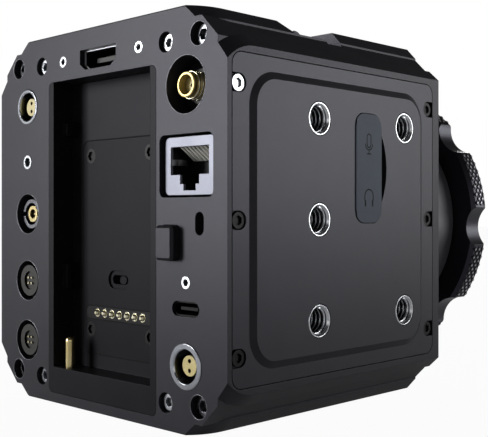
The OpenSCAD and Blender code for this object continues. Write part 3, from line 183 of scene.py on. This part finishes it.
# Bright chromium on the two-pin sockets' shells: wide shining rims, and painted shade inside
CHROME = surface("bright_chromium_on_brass", "#a9acb4", "#c9ccd3", 0.16, 0.12, 0.001, metal=1.0,
                 edge_mm=0.1, painted_shade="#0e0c08", painted_shade_mm=3.2)
# Hard nickel on the four-pin sockets' pins, thinly gilt
PIN = surface("gilt_hard_nickel", "#d9cfa0", "#f0e9cc", 0.2, 0.1, 0.001, metal=1.0)
# Black oxide on steel screws: dark, slightly oily gloss
OXIDE = surface("black_oxide_steel", "#040405", "#090909", 0.4, 0.15, 0.003, edge_mm=0.1,
                gloss=0.12)
# Gold plating on brass: pale and bright, with faint turning marks and painted shade in its holes
GOLD = surface("gold_plated_brass", "#d6c080", "#eedfae", 0.2, 0.1, 0.002, metal=1.0, edge_mm=0.06,
               stretch=(1, 5, 1), painted_shade="#2a2210", painted_shade_mm=1.2)
# Tinned wire of the network socket's contacts
TINNED = surface("tinned_phosphor_bronze", "#e9e7dd", "#f6f5ef", 0.4, 0.1, 0.001, metal=0.2)
# Thin gold flash over nickel on the contacts: nearly silver, with painted shade between them
FLASH = surface("gold_flash_on_nickel", "#cfc8a4", "#e9e4cc", 0.22, 0.1, 0.002, metal=1.0,
                edge_mm=0.08, painted_shade="#4a4226", painted_shade_mm=0.6)
# The rims of the anodised openings, coloured lighter as their painted highlight
PAINTED_EDGE_HIGHLIGHT = surface("anodised_aluminium_painted_edge_highlight", "#55555a", "#6d6d73", 0.3, 0.2, 0.002, metal=0.6)
# Black beads standing in for the shadow in the seams: painted shade
SEAM_SHADOW = surface("painted_seam_shadow", "#030304", "#070708", 0.6, 0.2, 0.003, gloss=0.1)
# Glass-filled nylon, moulded: black with a fine matt skin
NYLON = surface("glass_filled_nylon", "#0a0a0b", "#111113", 0.48, 0.18, 0.004, edge_mm=0.08,
                gloss=0.3)
# The same nylon, duller, on the contact strip and the small data socket
MATT_NYLON = surface("glass_filled_nylon_matt", "#08080a", "#0d0d0f", 0.5, 0.18, 0.004, gloss=0.12)
# Brown-black liquid crystal polymer round the four pins, moulded
POLYMER = surface("liquid_crystal_polymer", "#13120f", "#1d1b17", 0.45, 0.18, 0.004, edge_mm=0.06,
                  gloss=0.25)
# Silicone rubber, moulded: bluish dark grey and soft looking
RUBBER = surface("silicone_rubber_moulded", "#20272f", "#283039", 0.55, 0.3, 0.008, edge_mm=0.2,
                 gloss=0.35, cast="#e0e8ff")
# PEEK insulator: pale gold, with a faint waxy mottle and painted shade in its holes
CREAM = surface("peek_insulator", "#b3a262", "#cdbf85", 0.36, 0.4, 0.003, edge_mm=0.1,
                painted_shade="#120d04", painted_shade_mm=2.0)
# Solder mask on glass-epoxy board: green, glossy, with the weave just showing
BOARD = surface("solder_mask_on_board", "#123a20", "#1c5430", 0.3, 0.35, 0.006)
# Matt black solder mask of the port board, seen through the sockets' gaps
BLACK_BOARD = surface("black_solder_mask_on_board", "#08090a", "#101113", 0.5, 0.35, 0.006)
# Ceramic sensor package with its dark imaging area
SENSOR = surface("ceramic_sensor_package", "#15181d", "#22262e", 0.2, 0.08, 0.001)
# Anodised aluminium heat sink, extruded
SINK = surface("extruded_aluminium", "#7d8084", "#989ba0", 0.4, 0.2, 0.004, metal=1.0,
               stretch=(1, 1, 4))
# Hard-coated acrylic window over the status display
DISPLAY = surface("hard_coated_acrylic", "#07080a", "#0c0d10", 0.08, 0.5, 0.0003, edge_mm=0.15)
# Red polycarbonate record button, satin moulded
RECORD = surface("red_polycarbonate", "#8e1c17", "#a3261f", 0.35, 0.2, 0.003, edge_mm=0.3)
# Dark ink pad-printed on the rubber flap, a little worn
INK = surface("pad_printed_ink", "#030405", "#08090b", 0.6, 0.25, 0.003, gloss=0.1)
# Tempered spring steel in the network socket, tin plated
SPRING = surface("tin_plated_spring_steel", "#6a6b6e", "#85868a", 0.3, 0.15, 0.003, metal=0.8,
                 edge_mm=0.08)


def shader_of(material):
    """The finish's Principled shader."""
    return next(n for n in material.node_tree.nodes if n.type == "BSDF_PRINCIPLED")


def paint_over(material, amount, hex_code):
    """Lays one more colour over a finish, by amount."""
    tree, base = material.node_tree, shader_of(material).inputs["Base Color"]
    shades = {AMOUNT: amount, FIRST: base.links[0].from_socket, SECOND: colour(hex_code)}
    painted = add(tree, "Mix", shades, data_type="RGBA").outputs[MIXED]
    tree.links.new(painted, base)


def lined_socket(name, dark, light, metal, liner_mm, cavity_shade):
    """A plated shell, pale at its mouth, and painted in cavity_shade, a painted shade without the
    metal's sheen, deeper than liner_mm.
    """
    material = surface(name, dark, light, 0.4, 0.2, 0.002, edge_mm=0.1, gloss=0.2)
    tree = material.node_tree
    place = add(tree, "TexCoord").outputs["Object"]
    depth = add(tree, "SeparateXYZ", {0: place}).outputs["Y"]
    liner = (REAR_Y - liner_mm) * MM
    inside = add(tree, "Math", {0: depth, 1: liner}, operation="LESS_THAN").outputs[0]
    # painted shade deeper in the socket, where the metal also loses its sheen
    paint_over(material, inside, cavity_shade)
    painted_light_level = add(tree, "MapRange", {"Value": inside, "To Min": metal, "To Max": 0.0}).outputs[0]
    tree.links.new(painted_light_level, shader_of(material).inputs["Metallic"])
    return material


# Nickel-plated shell of the network socket: pale, with a cool cast, and painted shade inside
NETWORK = lined_socket("nickel_plated_shell", "#787a86", "#8a8c98", 0.25, 1.9, "#0d0d10")
# Gold plating of the antenna socket, dull in its turns, and painted shade on the flange in its
# recess
THREADED_GOLD = lined_socket("gold_plated_brass_threaded", "#a8935a", "#c9b67c", 0.8, 4.9,
                             "#0d0a05")
# Tin-plated shell of the display socket: a thin bright rim round a brown-black painted shade inside
TIN_SHELL = lined_socket("tin_plated_shell", "#cfd1d6", "#e4e6ea", 0.9, 1.9, "#0e0b08")


def knurl_finish():
    """Cut knurl: black anodised flanks, and tips painted light as their highlight."""
    material = surface("knurled_aluminium_painted_tip_highlight", "#0b0b0d", "#151518", 0.3, 0.25, 0.003, metal=0.6,
                       gloss=0.4)
    tree = material.node_tree
    place = add(tree, "TexCoord").outputs["Object"]
    axis = millimetres(0, 0, LENS_Z)
    from_axis = add(tree, "VectorMath", {0: place, 1: axis}, operation="SUBTRACT").outputs[0]
    across = add(tree, "VectorMath", {0: from_axis, 1: (1, 0, 1)}, operation="MULTIPLY").outputs[0]
    reach = add(tree, "VectorMath", {0: across}, operation="LENGTH").outputs["Value"]
    black, painted_light_level = 0.2, 0.38  # heights over the lobe where the painted highlight starts and is full
    spread = {"Value": reach, "From Min": (RING_R + black) * MM, "From Max": (RING_R + painted_light_level) * MM}
    tip_highlight = add(tree, "MapRange", spread).outputs[0]
    # painted highlight on the knurl's tips
    paint_over(material, tip_highlight, "#b9b9bf")
    return material


KNURL = knurl_finish()


def filter_glass():
    """Coated filter glass: clear with a faint blue-green cast."""
    material = surface("coated_filter_glass", "#9fc4c6", "#acd0d0", 0.04, 0.6, 0.0002)
    shader = shader_of(material)
    shader.inputs["Transmission Weight"].default_value = 0.85
    shader.inputs["IOR"].default_value = 1.52
    return material


GLASS = filter_glass()

FINISHES = {
    BLASTED: "main_body rear_cover release_button power_button "
             "menu_key_rear menu_key_middle menu_key_front",
    NECK: "mount_neck",
    PANEL: "left_panel right_panel card_door",
    BAY: "battery_plate slide_switch",
    RING: "lock_ring",
    STEEL: "bright_panel_screw battery_latch remote_jack rear_inner_screws port_screws lens_seat "
           "seat_screws locating_pin board_standoffs",
    NICKEL: "video_socket_shell corner_screws",
    CHROME: "two_pin_shells",
    PIN: "four_pin_contacts",
    INSERT: "quarter_inserts large_insert",
    OXIDE: "panel_screws battery_plate_screws",
    GOLD: "ejector_pin video_socket_core",
    THREADED_GOLD: "antenna_socket",
    FLASH: "contact_sleeves contact_pins",
    TINNED: "network_contacts",
    MATT_NYLON: "contact_strip usb_socket",
    BAY_WALLS: "bay_frame",
    NYLON: "audio_jacks card_slot sensor_chamber fan_housing fan_rotor",
    POLYMER: "four_pin_sockets",
    RUBBER: "audio_flap",
    CREAM: "two_pin_inserts antenna_insulator",
    BOARD: "sensor_board main_board",
    BLACK_BOARD: "port_board",
    SENSOR: "sensor_package",
    SINK: "heat_sink",
    DISPLAY: "display_window",
    RECORD: "record_button",
    NETWORK: "network_socket",
    TIN_SHELL: "hdmi_socket",
    GLASS: "sensor_glass",
}
for material, names in FINISHES.items():
    for name in names.split():
        slots = nodes[name].data.materials
        slots.clear()
        slots.append(material)


# Pieces
def select_only(piece):
    """Selects piece alone and makes it active."""
    bpy.ops.object.select_all(action="DESELECT")
    piece.select_set(True)
    bpy.context.view_layer.objects.active = piece


def settle(piece, name, material, body):
    """Names a finished piece, puts its place in its mesh, and lets it ride on its body."""
    select_only(piece)
    bpy.ops.object.transform_apply(location=True, rotation=True, scale=True)
    piece.name = name
    piece.data.name = name
    piece.data.materials.clear()
    piece.data.materials.append(material)
    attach(piece, body)


def apply_modifiers(piece):
    """Applies the piece's modifiers in their order."""
    select_only(piece)
    for modifier in list(piece.modifiers):
        bpy.ops.object.modifier_apply(modifier=modifier.name)


def turned_array(piece, centre, degrees, count):
    """Copies of piece, each turned on about the lens axis through centre."""
    bpy.ops.object.empty_add(location=centre)
    step = bpy.context.object
    step.rotation_euler = (0, math.radians(degrees), 0)
    bpy.context.view_layer.update()
    array = piece.modifiers.new("turned", "ARRAY")
    array.use_relative_offset = False
    array.use_object_offset = True
    array.offset_object = step
    array.count = count
    apply_modifiers(piece)
    bpy.data.objects.remove(step)


def join(pieces):
    """The pieces as one, under the first."""
    select_only(pieces[0])
    for piece in pieces:
        piece.select_set(True)
    bpy.ops.object.join()
    return pieces[0]


def outward():
    """Turns the active piece's faces outward."""
    bpy.ops.object.mode_set(mode="EDIT")
    bpy.ops.mesh.select_all(action="SELECT")
    bpy.ops.mesh.normals_make_consistent(inside=False)
    bpy.ops.object.mode_set(mode="OBJECT")


def arc(centre, radius, first, last, count=15):
    """Points on a circle from the first angle to the last, in degrees."""
    steps = [math.radians(first + (last - first) * k / (count - 1)) for k in range(count)]
    return [(centre[0] + radius * math.cos(a), centre[1] + radius * math.sin(a)) for a in steps]


def circle(centre, radius):
    """Points all round a circle, for a closed line."""
    count = 48
    return arc(centre, radius, 0, 360 - 360 / count, count)


def rounded_outline(width, height, radius, centre_z):
    """Points round a rounded rectangle on the middle line of the rear face."""
    points = []
    for k, (sx, sz) in enumerate(((1, 1), (-1, 1), (-1, -1), (1, -1))):
        middle = (sx * (width / 2 - radius), centre_z + sz * (height / 2 - radius))
        points += arc(middle, radius, 90 * k, 90 * k + 90, 7)
    return points


def tube(places, thickness, closed=True):
    """A round line through places, in millimetres."""
    curve = bpy.data.curves.new("tube", "CURVE")
    curve.dimensions = "3D"
    curve.bevel_depth = thickness / 2 * MM
    curve.bevel_resolution = 2
    curve.use_fill_caps = True
    spline = curve.splines.new("POLY")
    spline.points.add(len(places) - 1)
    spline.use_cyclic_u = closed
    for point, place in zip(spline.points, places):
        point.co = (*millimetres(*place), 1)
    line = bpy.data.objects.new("tube", curve)
    bpy.context.collection.objects.link(line)
    select_only(line)
    bpy.ops.object.convert(target="MESH")
    return bpy.context.object


KNURL_ROWS = 3
KNURL_PITCH = 2.1        # from row to row along the lens axis
KNURL_INSET = 1.65       # first row's middle, from the ring's rear face
KNURL_STEP = 3.45        # degrees from diamond to diamond round the ring
KNURL_COLUMNS = 7
DIAMOND_R = 1.16         # foot, half across its corners
DIAMOND_TIP_R = 0.36
DIAMOND_H = 0.6
DIAMOND_SINK = 0.18      # how far its foot is sunk in the lobe
DIAMOND_SQUASH = 0.82    # its length along the lens axis to its width
LOBES = 9
LOBE_STEP = 360 / LOBES
LOBE_START = 17.5        # first lobe's middle, up from the -X side


def knurl():
    """Diamonds of the cut knurl on the ring's nine lobes."""
    centre = millimetres(0, FRONT_Y, LENS_Z)
    groups = []
    for shift in (0, 1):
        rows = KNURL_ROWS - shift
        columns = KNURL_COLUMNS - shift
        bpy.ops.mesh.primitive_cone_add(vertices=4, radius1=DIAMOND_R, radius2=DIAMOND_TIP_R,
                                        depth=DIAMOND_H)
        diamond = bpy.context.object
        diamond.scale = (MM, MM * DIAMOND_SQUASH, MM)
        bpy.ops.object.transform_apply(scale=True)
        first = RING_START + KNURL_INSET + shift * KNURL_PITCH / 2
        angle = -(columns - 1) / 2 * KNURL_STEP
        turn = Matrix.Rotation(math.radians(angle - (180 - LOBE_START)), 4, "Y")
        tip = Matrix.Rotation(math.radians(90), 4, "Y")
        foot = RING_R - DIAMOND_SINK
        out = Matrix.Translation(millimetres(foot + DIAMOND_H / 2, -first, 0))
        diamond.data.transform(turn @ out @ tip)
        diamond.location = centre
        array = diamond.modifiers.new("rows", "ARRAY")
        array.use_relative_offset = False
        array.use_constant_offset = True
        array.constant_offset_displace = (0, -KNURL_PITCH * MM, 0)
        array.count = rows
        apply_modifiers(diamond)
        turned_array(diamond, centre, KNURL_STEP, columns)
        groups.append(diamond)
    piece = join(groups)
    turned_array(piece, centre, LOBE_STEP, LOBES)
    settle(piece, "knurl_diamonds", KNURL, "lock_ring")


THREAD_STEPS = 32        # sections to a turn of thread


def thread_helix(radius, pitch, turns, crest):
    """One inside thread, in millimetres, as a helical ridge along +Z from the origin."""
    bpy.ops.mesh.primitive_circle_add(vertices=3, radius=1, fill_type="NGON")
    ridge = bpy.context.object
    # the triangle's tip points to the axis, and its base is sunk in the wall
    ridge.rotation_euler = (math.radians(90), 0, 0)
    bpy.ops.object.transform_apply(rotation=True)
    corners = ridge.data.vertices
    base, half = radius + 0.08, pitch * 0.46
    places = [(radius - crest, 0), (base, -half), (base, half)]
    for corner, (out, up) in zip(corners, places):
        corner.co = millimetres(out, 0, up)
    bpy.ops.object.mode_set(mode="EDIT")
    bpy.ops.mesh.select_all(action="SELECT")
    bpy.ops.mesh.delete(type="ONLY_FACE")
    bpy.ops.object.mode_set(mode="OBJECT")
    screw = ridge.modifiers.new("thread", "SCREW")
    screw.angle = math.tau
    screw.screw_offset = pitch * MM
    screw.iterations = turns
    screw.steps = THREAD_STEPS
    screw.render_steps = THREAD_STEPS
    screw.use_merge_vertices = True
    apply_modifiers(ridge)
    bpy.ops.object.mode_set(mode="EDIT")
    bpy.ops.mesh.select_all(action="DESELECT")
    bpy.ops.mesh.select_non_manifold()
    bpy.ops.mesh.fill_holes(sides=3)
    bpy.ops.object.mode_set(mode="OBJECT")
    outward()
    return ridge


# Threads of the inserts: where the first turn starts, in millimetres. Those of the sides are
# given from the rear face and from the middle height.
SIDE_THREADS = [(29.9, 24), (29.9, 0), (29.9, -24), (64.8, 24), (64.8, -24)]
SIDE_THREAD_X = 40.4
TOP_THREAD = (17, REAR_Y - 17.5, 91.0)
BASE_THREAD = (0, 0, 0.8)
LARGE_THREAD = (0, 18, 1.0)


def insert_threads():
    """Threads cut in the steel inserts of both sides, the top and the bottom."""
    inch = 25.4
    quarter = thread_helix(inch / 8, inch / 20, turns=4, crest=0.5)
    large = thread_helix(inch * 3 / 16, inch / 16, turns=3, crest=0.6)
    copies = []

    def put(source, place, axis):
        """Adds a copy of the thread that starts at place and runs along axis."""
        copy = source.copy()
        copy.data = source.data.copy()
        bpy.context.collection.objects.link(copy)
        turn = Vector((0, 0, 1)).rotation_difference(Vector(axis)).to_matrix().to_4x4()
        copy.data.transform(Matrix.Translation(place) @ turn)
        copies.append(copy)

    x, y, z = TOP_THREAD
    for side in (-1, 1):
        for dy, dz in SIDE_THREADS:
            start_at = millimetres(side * SIDE_THREAD_X, REAR_Y - dy, MID_Z + dz)
            put(quarter, start_at, (side, 0, 0))
        put(quarter, millimetres(side * x, y, z), (0, 0, 1))
    put(quarter, millimetres(*BASE_THREAD), (0, 0, 1))
    put(large, millimetres(*LARGE_THREAD), (0, 0, 1))
    bpy.data.objects.remove(quarter)
    bpy.data.objects.remove(large)
    settle(join(copies), "insert_threads", INSERT, "camera_body")


INK_T = 0.04             # the print, in millimetres
SIGN_LINE = 0.42         # width of its lines
MICROPHONE_UP = 19.4     # middles of the signs, from the middle height
HEADPHONES_UP = 5.4


def ink_line(points, width, closed=False):
    """A flat printed line on the flap's face through points given as (towards the lens, up)."""
    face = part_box("audio_flap")[0][0] / MM
    places = [(0, REAR_Y - FLAP_DY - along, MID_Z + up) for along, up in points]
    line = tube(places, width, closed)
    # pressed flat, and sunk until a quarter of the print stands on the rubber
    pressed = Matrix.Scale(INK_T / width, 4, (1, 0, 0))
    line.data.transform(Matrix.Translation(millimetres(face + INK_T / 4, 0, 0)) @ pressed)
    return line


def flap_signs():
    """A microphone over its jack and headphones over theirs, printed on the audio flap."""
    up = MICROPHONE_UP
    capsule = arc((0, up + 1.3), 0.8, 0, 180) + arc((0, up - 0.5), 0.8, 180, 360)
    lines = [
        ink_line(capsule, SIGN_LINE, closed=True),
        ink_line(arc((0, up - 0.4), 1.5, 180, 360), SIGN_LINE),
        ink_line([(0, up - 1.9), (0, up - 2.9)], SIGN_LINE),
        ink_line([(-0.8, up - 2.9), (0.8, up - 2.9)], SIGN_LINE),
    ]
    up = HEADPHONES_UP
    band_r, band_w, cushion_w = 1.75, 0.45, 0.75
    lines.append(ink_line(arc((0, up + 0.4), band_r, 0, 180, 21), band_w))
    for side in (-1, 1):
        lines.append(ink_line([(side * band_r, up + 0.4), (side * band_r, up - 0.6)], band_w))
        lines.append(ink_line([(side * 1.5, up - 0.5), (side * 1.5, up - 2.1)], cushion_w))
    settle(join(lines), "flap_signs", INK, "audio_flap")


def network_spring():
    """The bowed spring tab that grounds a plug against the socket's wall."""
    wall = -25.8             # inner face of the socket's wall
    height = 13.2            # middle of the tab, from the middle height
    width, sheet = 1.4, 0.2
    first, last = 1.35, 6.2  # its ends, from the rear face
    gap, rise = 0.15, 0.75   # from the wall to its ends, and on to the top of its bow
    bpy.ops.mesh.primitive_grid_add(x_subdivisions=14, y_subdivisions=3, size=1)
    tab = bpy.context.object
    for corner in tab.data.vertices:
        along, up = corner.co.x + 0.5, corner.co.y
        bow = gap + rise * math.sin(math.pi * along) ** 0.8
        depth = first + along * (last - first)
        corner.co = millimetres(wall - bow, REAR_Y - depth, MID_Z + height + up * width)
    thick = tab.modifiers.new("sheet", "SOLIDIFY")
    thick.thickness = sheet * MM
    thick.offset = 0
    apply_modifiers(tab)
    outward()
    settle(tab, "network_spring", SPRING, "camera_body")


def bead(points, y, thickness, raised):
    """A closed round bead through points (x, z) at depth y, of which raised shows over the face."""
    middle = y + raised - thickness / 2
    return tube([(x, middle, MID_Z + z) for x, z in points], thickness)


SCREW_AT = (36.5, 41.4)  # corner screws, from the middle of the rear face
ANTENNA_AT = (-PORT_X, sum(span("antenna_insulator", Z)) / 2 - MID_Z)
ROUND_PORTS_Z = (1.4, -16.8, -33.0)     # lower round sockets, from the middle height


def painted_highlight_rims():
    """Thin rims round the round openings, coloured lighter: a painted highlight of their edges."""
    port_r, antenna_r, screw_r = 5.45, 6.65, 2.75
    rounds = [((PORT_X, z), port_r) for z in ROUND_PORTS_Z] + [(ANTENNA_AT, antenna_r)]
    rounds += [((sx * SCREW_AT[0], sz * SCREW_AT[1]), screw_r) for sz in (1, -1) for sx in (1, -1)]
    rims = [bead(circle(centre, radius), REAR_Y, thickness=0.22, raised=0.06)
            for centre, radius in rounds]
    settle(join(rims), "painted_highlight_rims", PAINTED_EDGE_HIGHLIGHT, "camera_body")


def antenna_crests():
    """Crests of the antenna socket's thread, paler than its barrel: a painted highlight of its
    bright turns.
    """
    crest_r, thickness = 3.08, 0.42
    depths = (1.55, 2.65, 3.75, 4.7)  # from the rear face
    turn = circle(ANTENNA_AT, crest_r)
    crests = [bead(turn, REAR_Y - depth, thickness, raised=0.21) for depth in depths]
    settle(join(crests), "antenna_crests", FLASH, "camera_body")


def bay_seam_shadows():
    """Thin black beads round the battery plate and the contact strip: painted shadow in their
    seams.
    """
    left, right = span("battery_plate", X)
    low, high = span("battery_plate", Z)
    plate = rounded_outline(right - left, high - low, 2.5, (low + high) / 2 - MID_Z)
    strip = rounded_outline(width=28.4, height=3.5, radius=1.74, centre_z=-24.35)
    shadow_beads = [bead(plate, BAY_FLOOR_Y, thickness=0.36, raised=0.12),
             bead(strip, BAY_FLOOR_Y, thickness=0.3, raised=0.1)]
    settle(join(shadow_beads), "bay_seam_shadows", SEAM_SHADOW, "camera_body")


knurl()
painted_highlight_rims()
bay_seam_shadows()
antenna_crests()
insert_threads()
flap_signs()
network_spring()

# Camera, floor, room and lights

# The camera's place, aim and lens, fitted to the straight edges in the photograph
bpy.ops.object.camera_add(location=millimetres(-186.0, 179.5, 49.85))
camera = bpy.context.object
right = Vector((-0.7145, -0.6997, 0)).normalized()
forward = Vector((0.6997, -0.7145, 0)).normalized()
camera.rotation_euler = Matrix((right, Vector((0, 0, 1)), -forward)).transposed().to_euler()
camera.data.lens = 67.82
camera.data.sensor_width = 36
camera.data.shift_y = -0.00984
camera.data.clip_start = 0.01
bpy.context.scene.camera = camera

FLOOR_SIZE = 6           # metres
FLOOR_Z = -0.0002        # a hair under the body's base
bpy.ops.mesh.primitive_plane_add(size=FLOOR_SIZE, location=(0, 0, FLOOR_Z))
floor = bpy.context.object
floor.name = "floor"


def white_to_the_eye(tree, lit, cover, in_gloss):
    """Mixes lit with white: cover of it for the camera and in glass, in_gloss of it in gloss."""
    path = add(tree, "LightPath").outputs
    eye_or_glass = {0: path["Is Camera Ray"], 1: path["Is Transmission Ray"]}
    seen = add(tree, "Math", eye_or_glass, operation="MAXIMUM").outputs[0]
    direct = add(tree, "Math", {0: seen, 1: cover}, operation="MULTIPLY").outputs[0]
    mirrored = {0: path["Is Glossy Ray"], 1: in_gloss}
    gloss = add(tree, "Math", mirrored, operation="MULTIPLY").outputs[0]
    amount = add(tree, "Math", {0: direct, 1: gloss}, operation="MAXIMUM").outputs[0]
    white = add(tree, "Emission", {"Color": (1, 1, 1, 1), "Strength": 1.0})
    return add(tree, "MixShader", {0: amount, 1: lit, 2: white.outputs[0]}).outputs[0]


def floor_finish():
    """Matt pale paper, nearly white to the camera, with a faint shadow left in it."""
    material = bpy.data.materials.new("pale_paper_floor")
    material.use_nodes = True
    tree = material.node_tree
    tree.nodes.clear()
    place = add(tree, "TexCoord").outputs["Object"]
    mottle_mm = 60.0
    mottle = add(tree, "TexNoise", {"Vector": place, "Scale": 1 / (mottle_mm * MM)}).outputs["Fac"]
    shades = {AMOUNT: mottle, FIRST: colour("#bababc"), SECOND: colour("#c2c2c4")}
    tone = add(tree, "Mix", shades, data_type="RGBA").outputs[MIXED]
    paper = add(tree, "BsdfDiffuse", {"Color": tone}).outputs[0]
    whitened = white_to_the_eye(tree, paper, cover=0.96, in_gloss=0.12)
    add(tree, "OutputMaterial", {"Surface": whitened})
    return material


floor.data.materials.append(floor_finish())

world = bpy.data.worlds.new("studio")
bpy.context.scene.world = world
world.use_nodes = True
sky = world.node_tree
sky.nodes.clear()
height = add(sky, "SeparateXYZ", {0: add(sky, "TexCoord").outputs["Generated"]}).outputs["Z"]
# A soft grey room, dim overhead, that the camera sees as plain white
HORIZON = 0.1            # its light is even below this height, of 1 overhead
light = {"Value": height, "From Min": HORIZON, "From Max": 0.45, "To Min": 0.5, "To Max": 0.04}
shade = add(sky, "MapRange", light).outputs[0]
sheen = {"Value": height, "From Min": HORIZON, "From Max": 0.35, "To Min": 0.2, "To Max": 0.0}
pale = add(sky, "MapRange", sheen).outputs[0]
room = add(sky, "Background", {"Color": (1, 1, 1, 1), "Strength": shade}).outputs[0]
whitened = white_to_the_eye(sky, room, cover=1.0, in_gloss=pale)
add(sky, "OutputWorld", {"Surface": whitened})


def softbox(name, place, target, size, watts):
    """A rectangular light panel at place, turned to target, in metres."""
    bpy.ops.object.light_add(type="AREA", location=place)
    lamp = bpy.context.object
    lamp.name = name
    lamp.data.shape = "RECTANGLE"
    lamp.data.size, lamp.data.size_y = size
    lamp.data.energy = watts
    lamp.rotation_euler = (Vector(target) - Vector(place)).to_track_quat("-Z", "Y").to_euler()


MIDDLE = (0, 0, 0.05)
# Near the places that the rear face and the left side mirror to the camera
softbox("rear_softbox", (0.6, 0.8, 0.22), MIDDLE, (0.35, 0.5), 10)
softbox("side_softbox", (-0.82, -0.76, 0.29), MIDDLE, (0.6, 0.55), 6)
# A weak fill behind the camera, for the corner between the two
softbox("camera_softbox", (-0.8, 0.85, 0.35), MIDDLE, (0.5, 0.4), 0.25)
# For the two sides turned away
softbox("front_softbox", (0.75, -0.9, 0.4), MIDDLE, (0.6, 0.45), 9)

bpy.context.scene.view_settings.view_transform = "Standard"
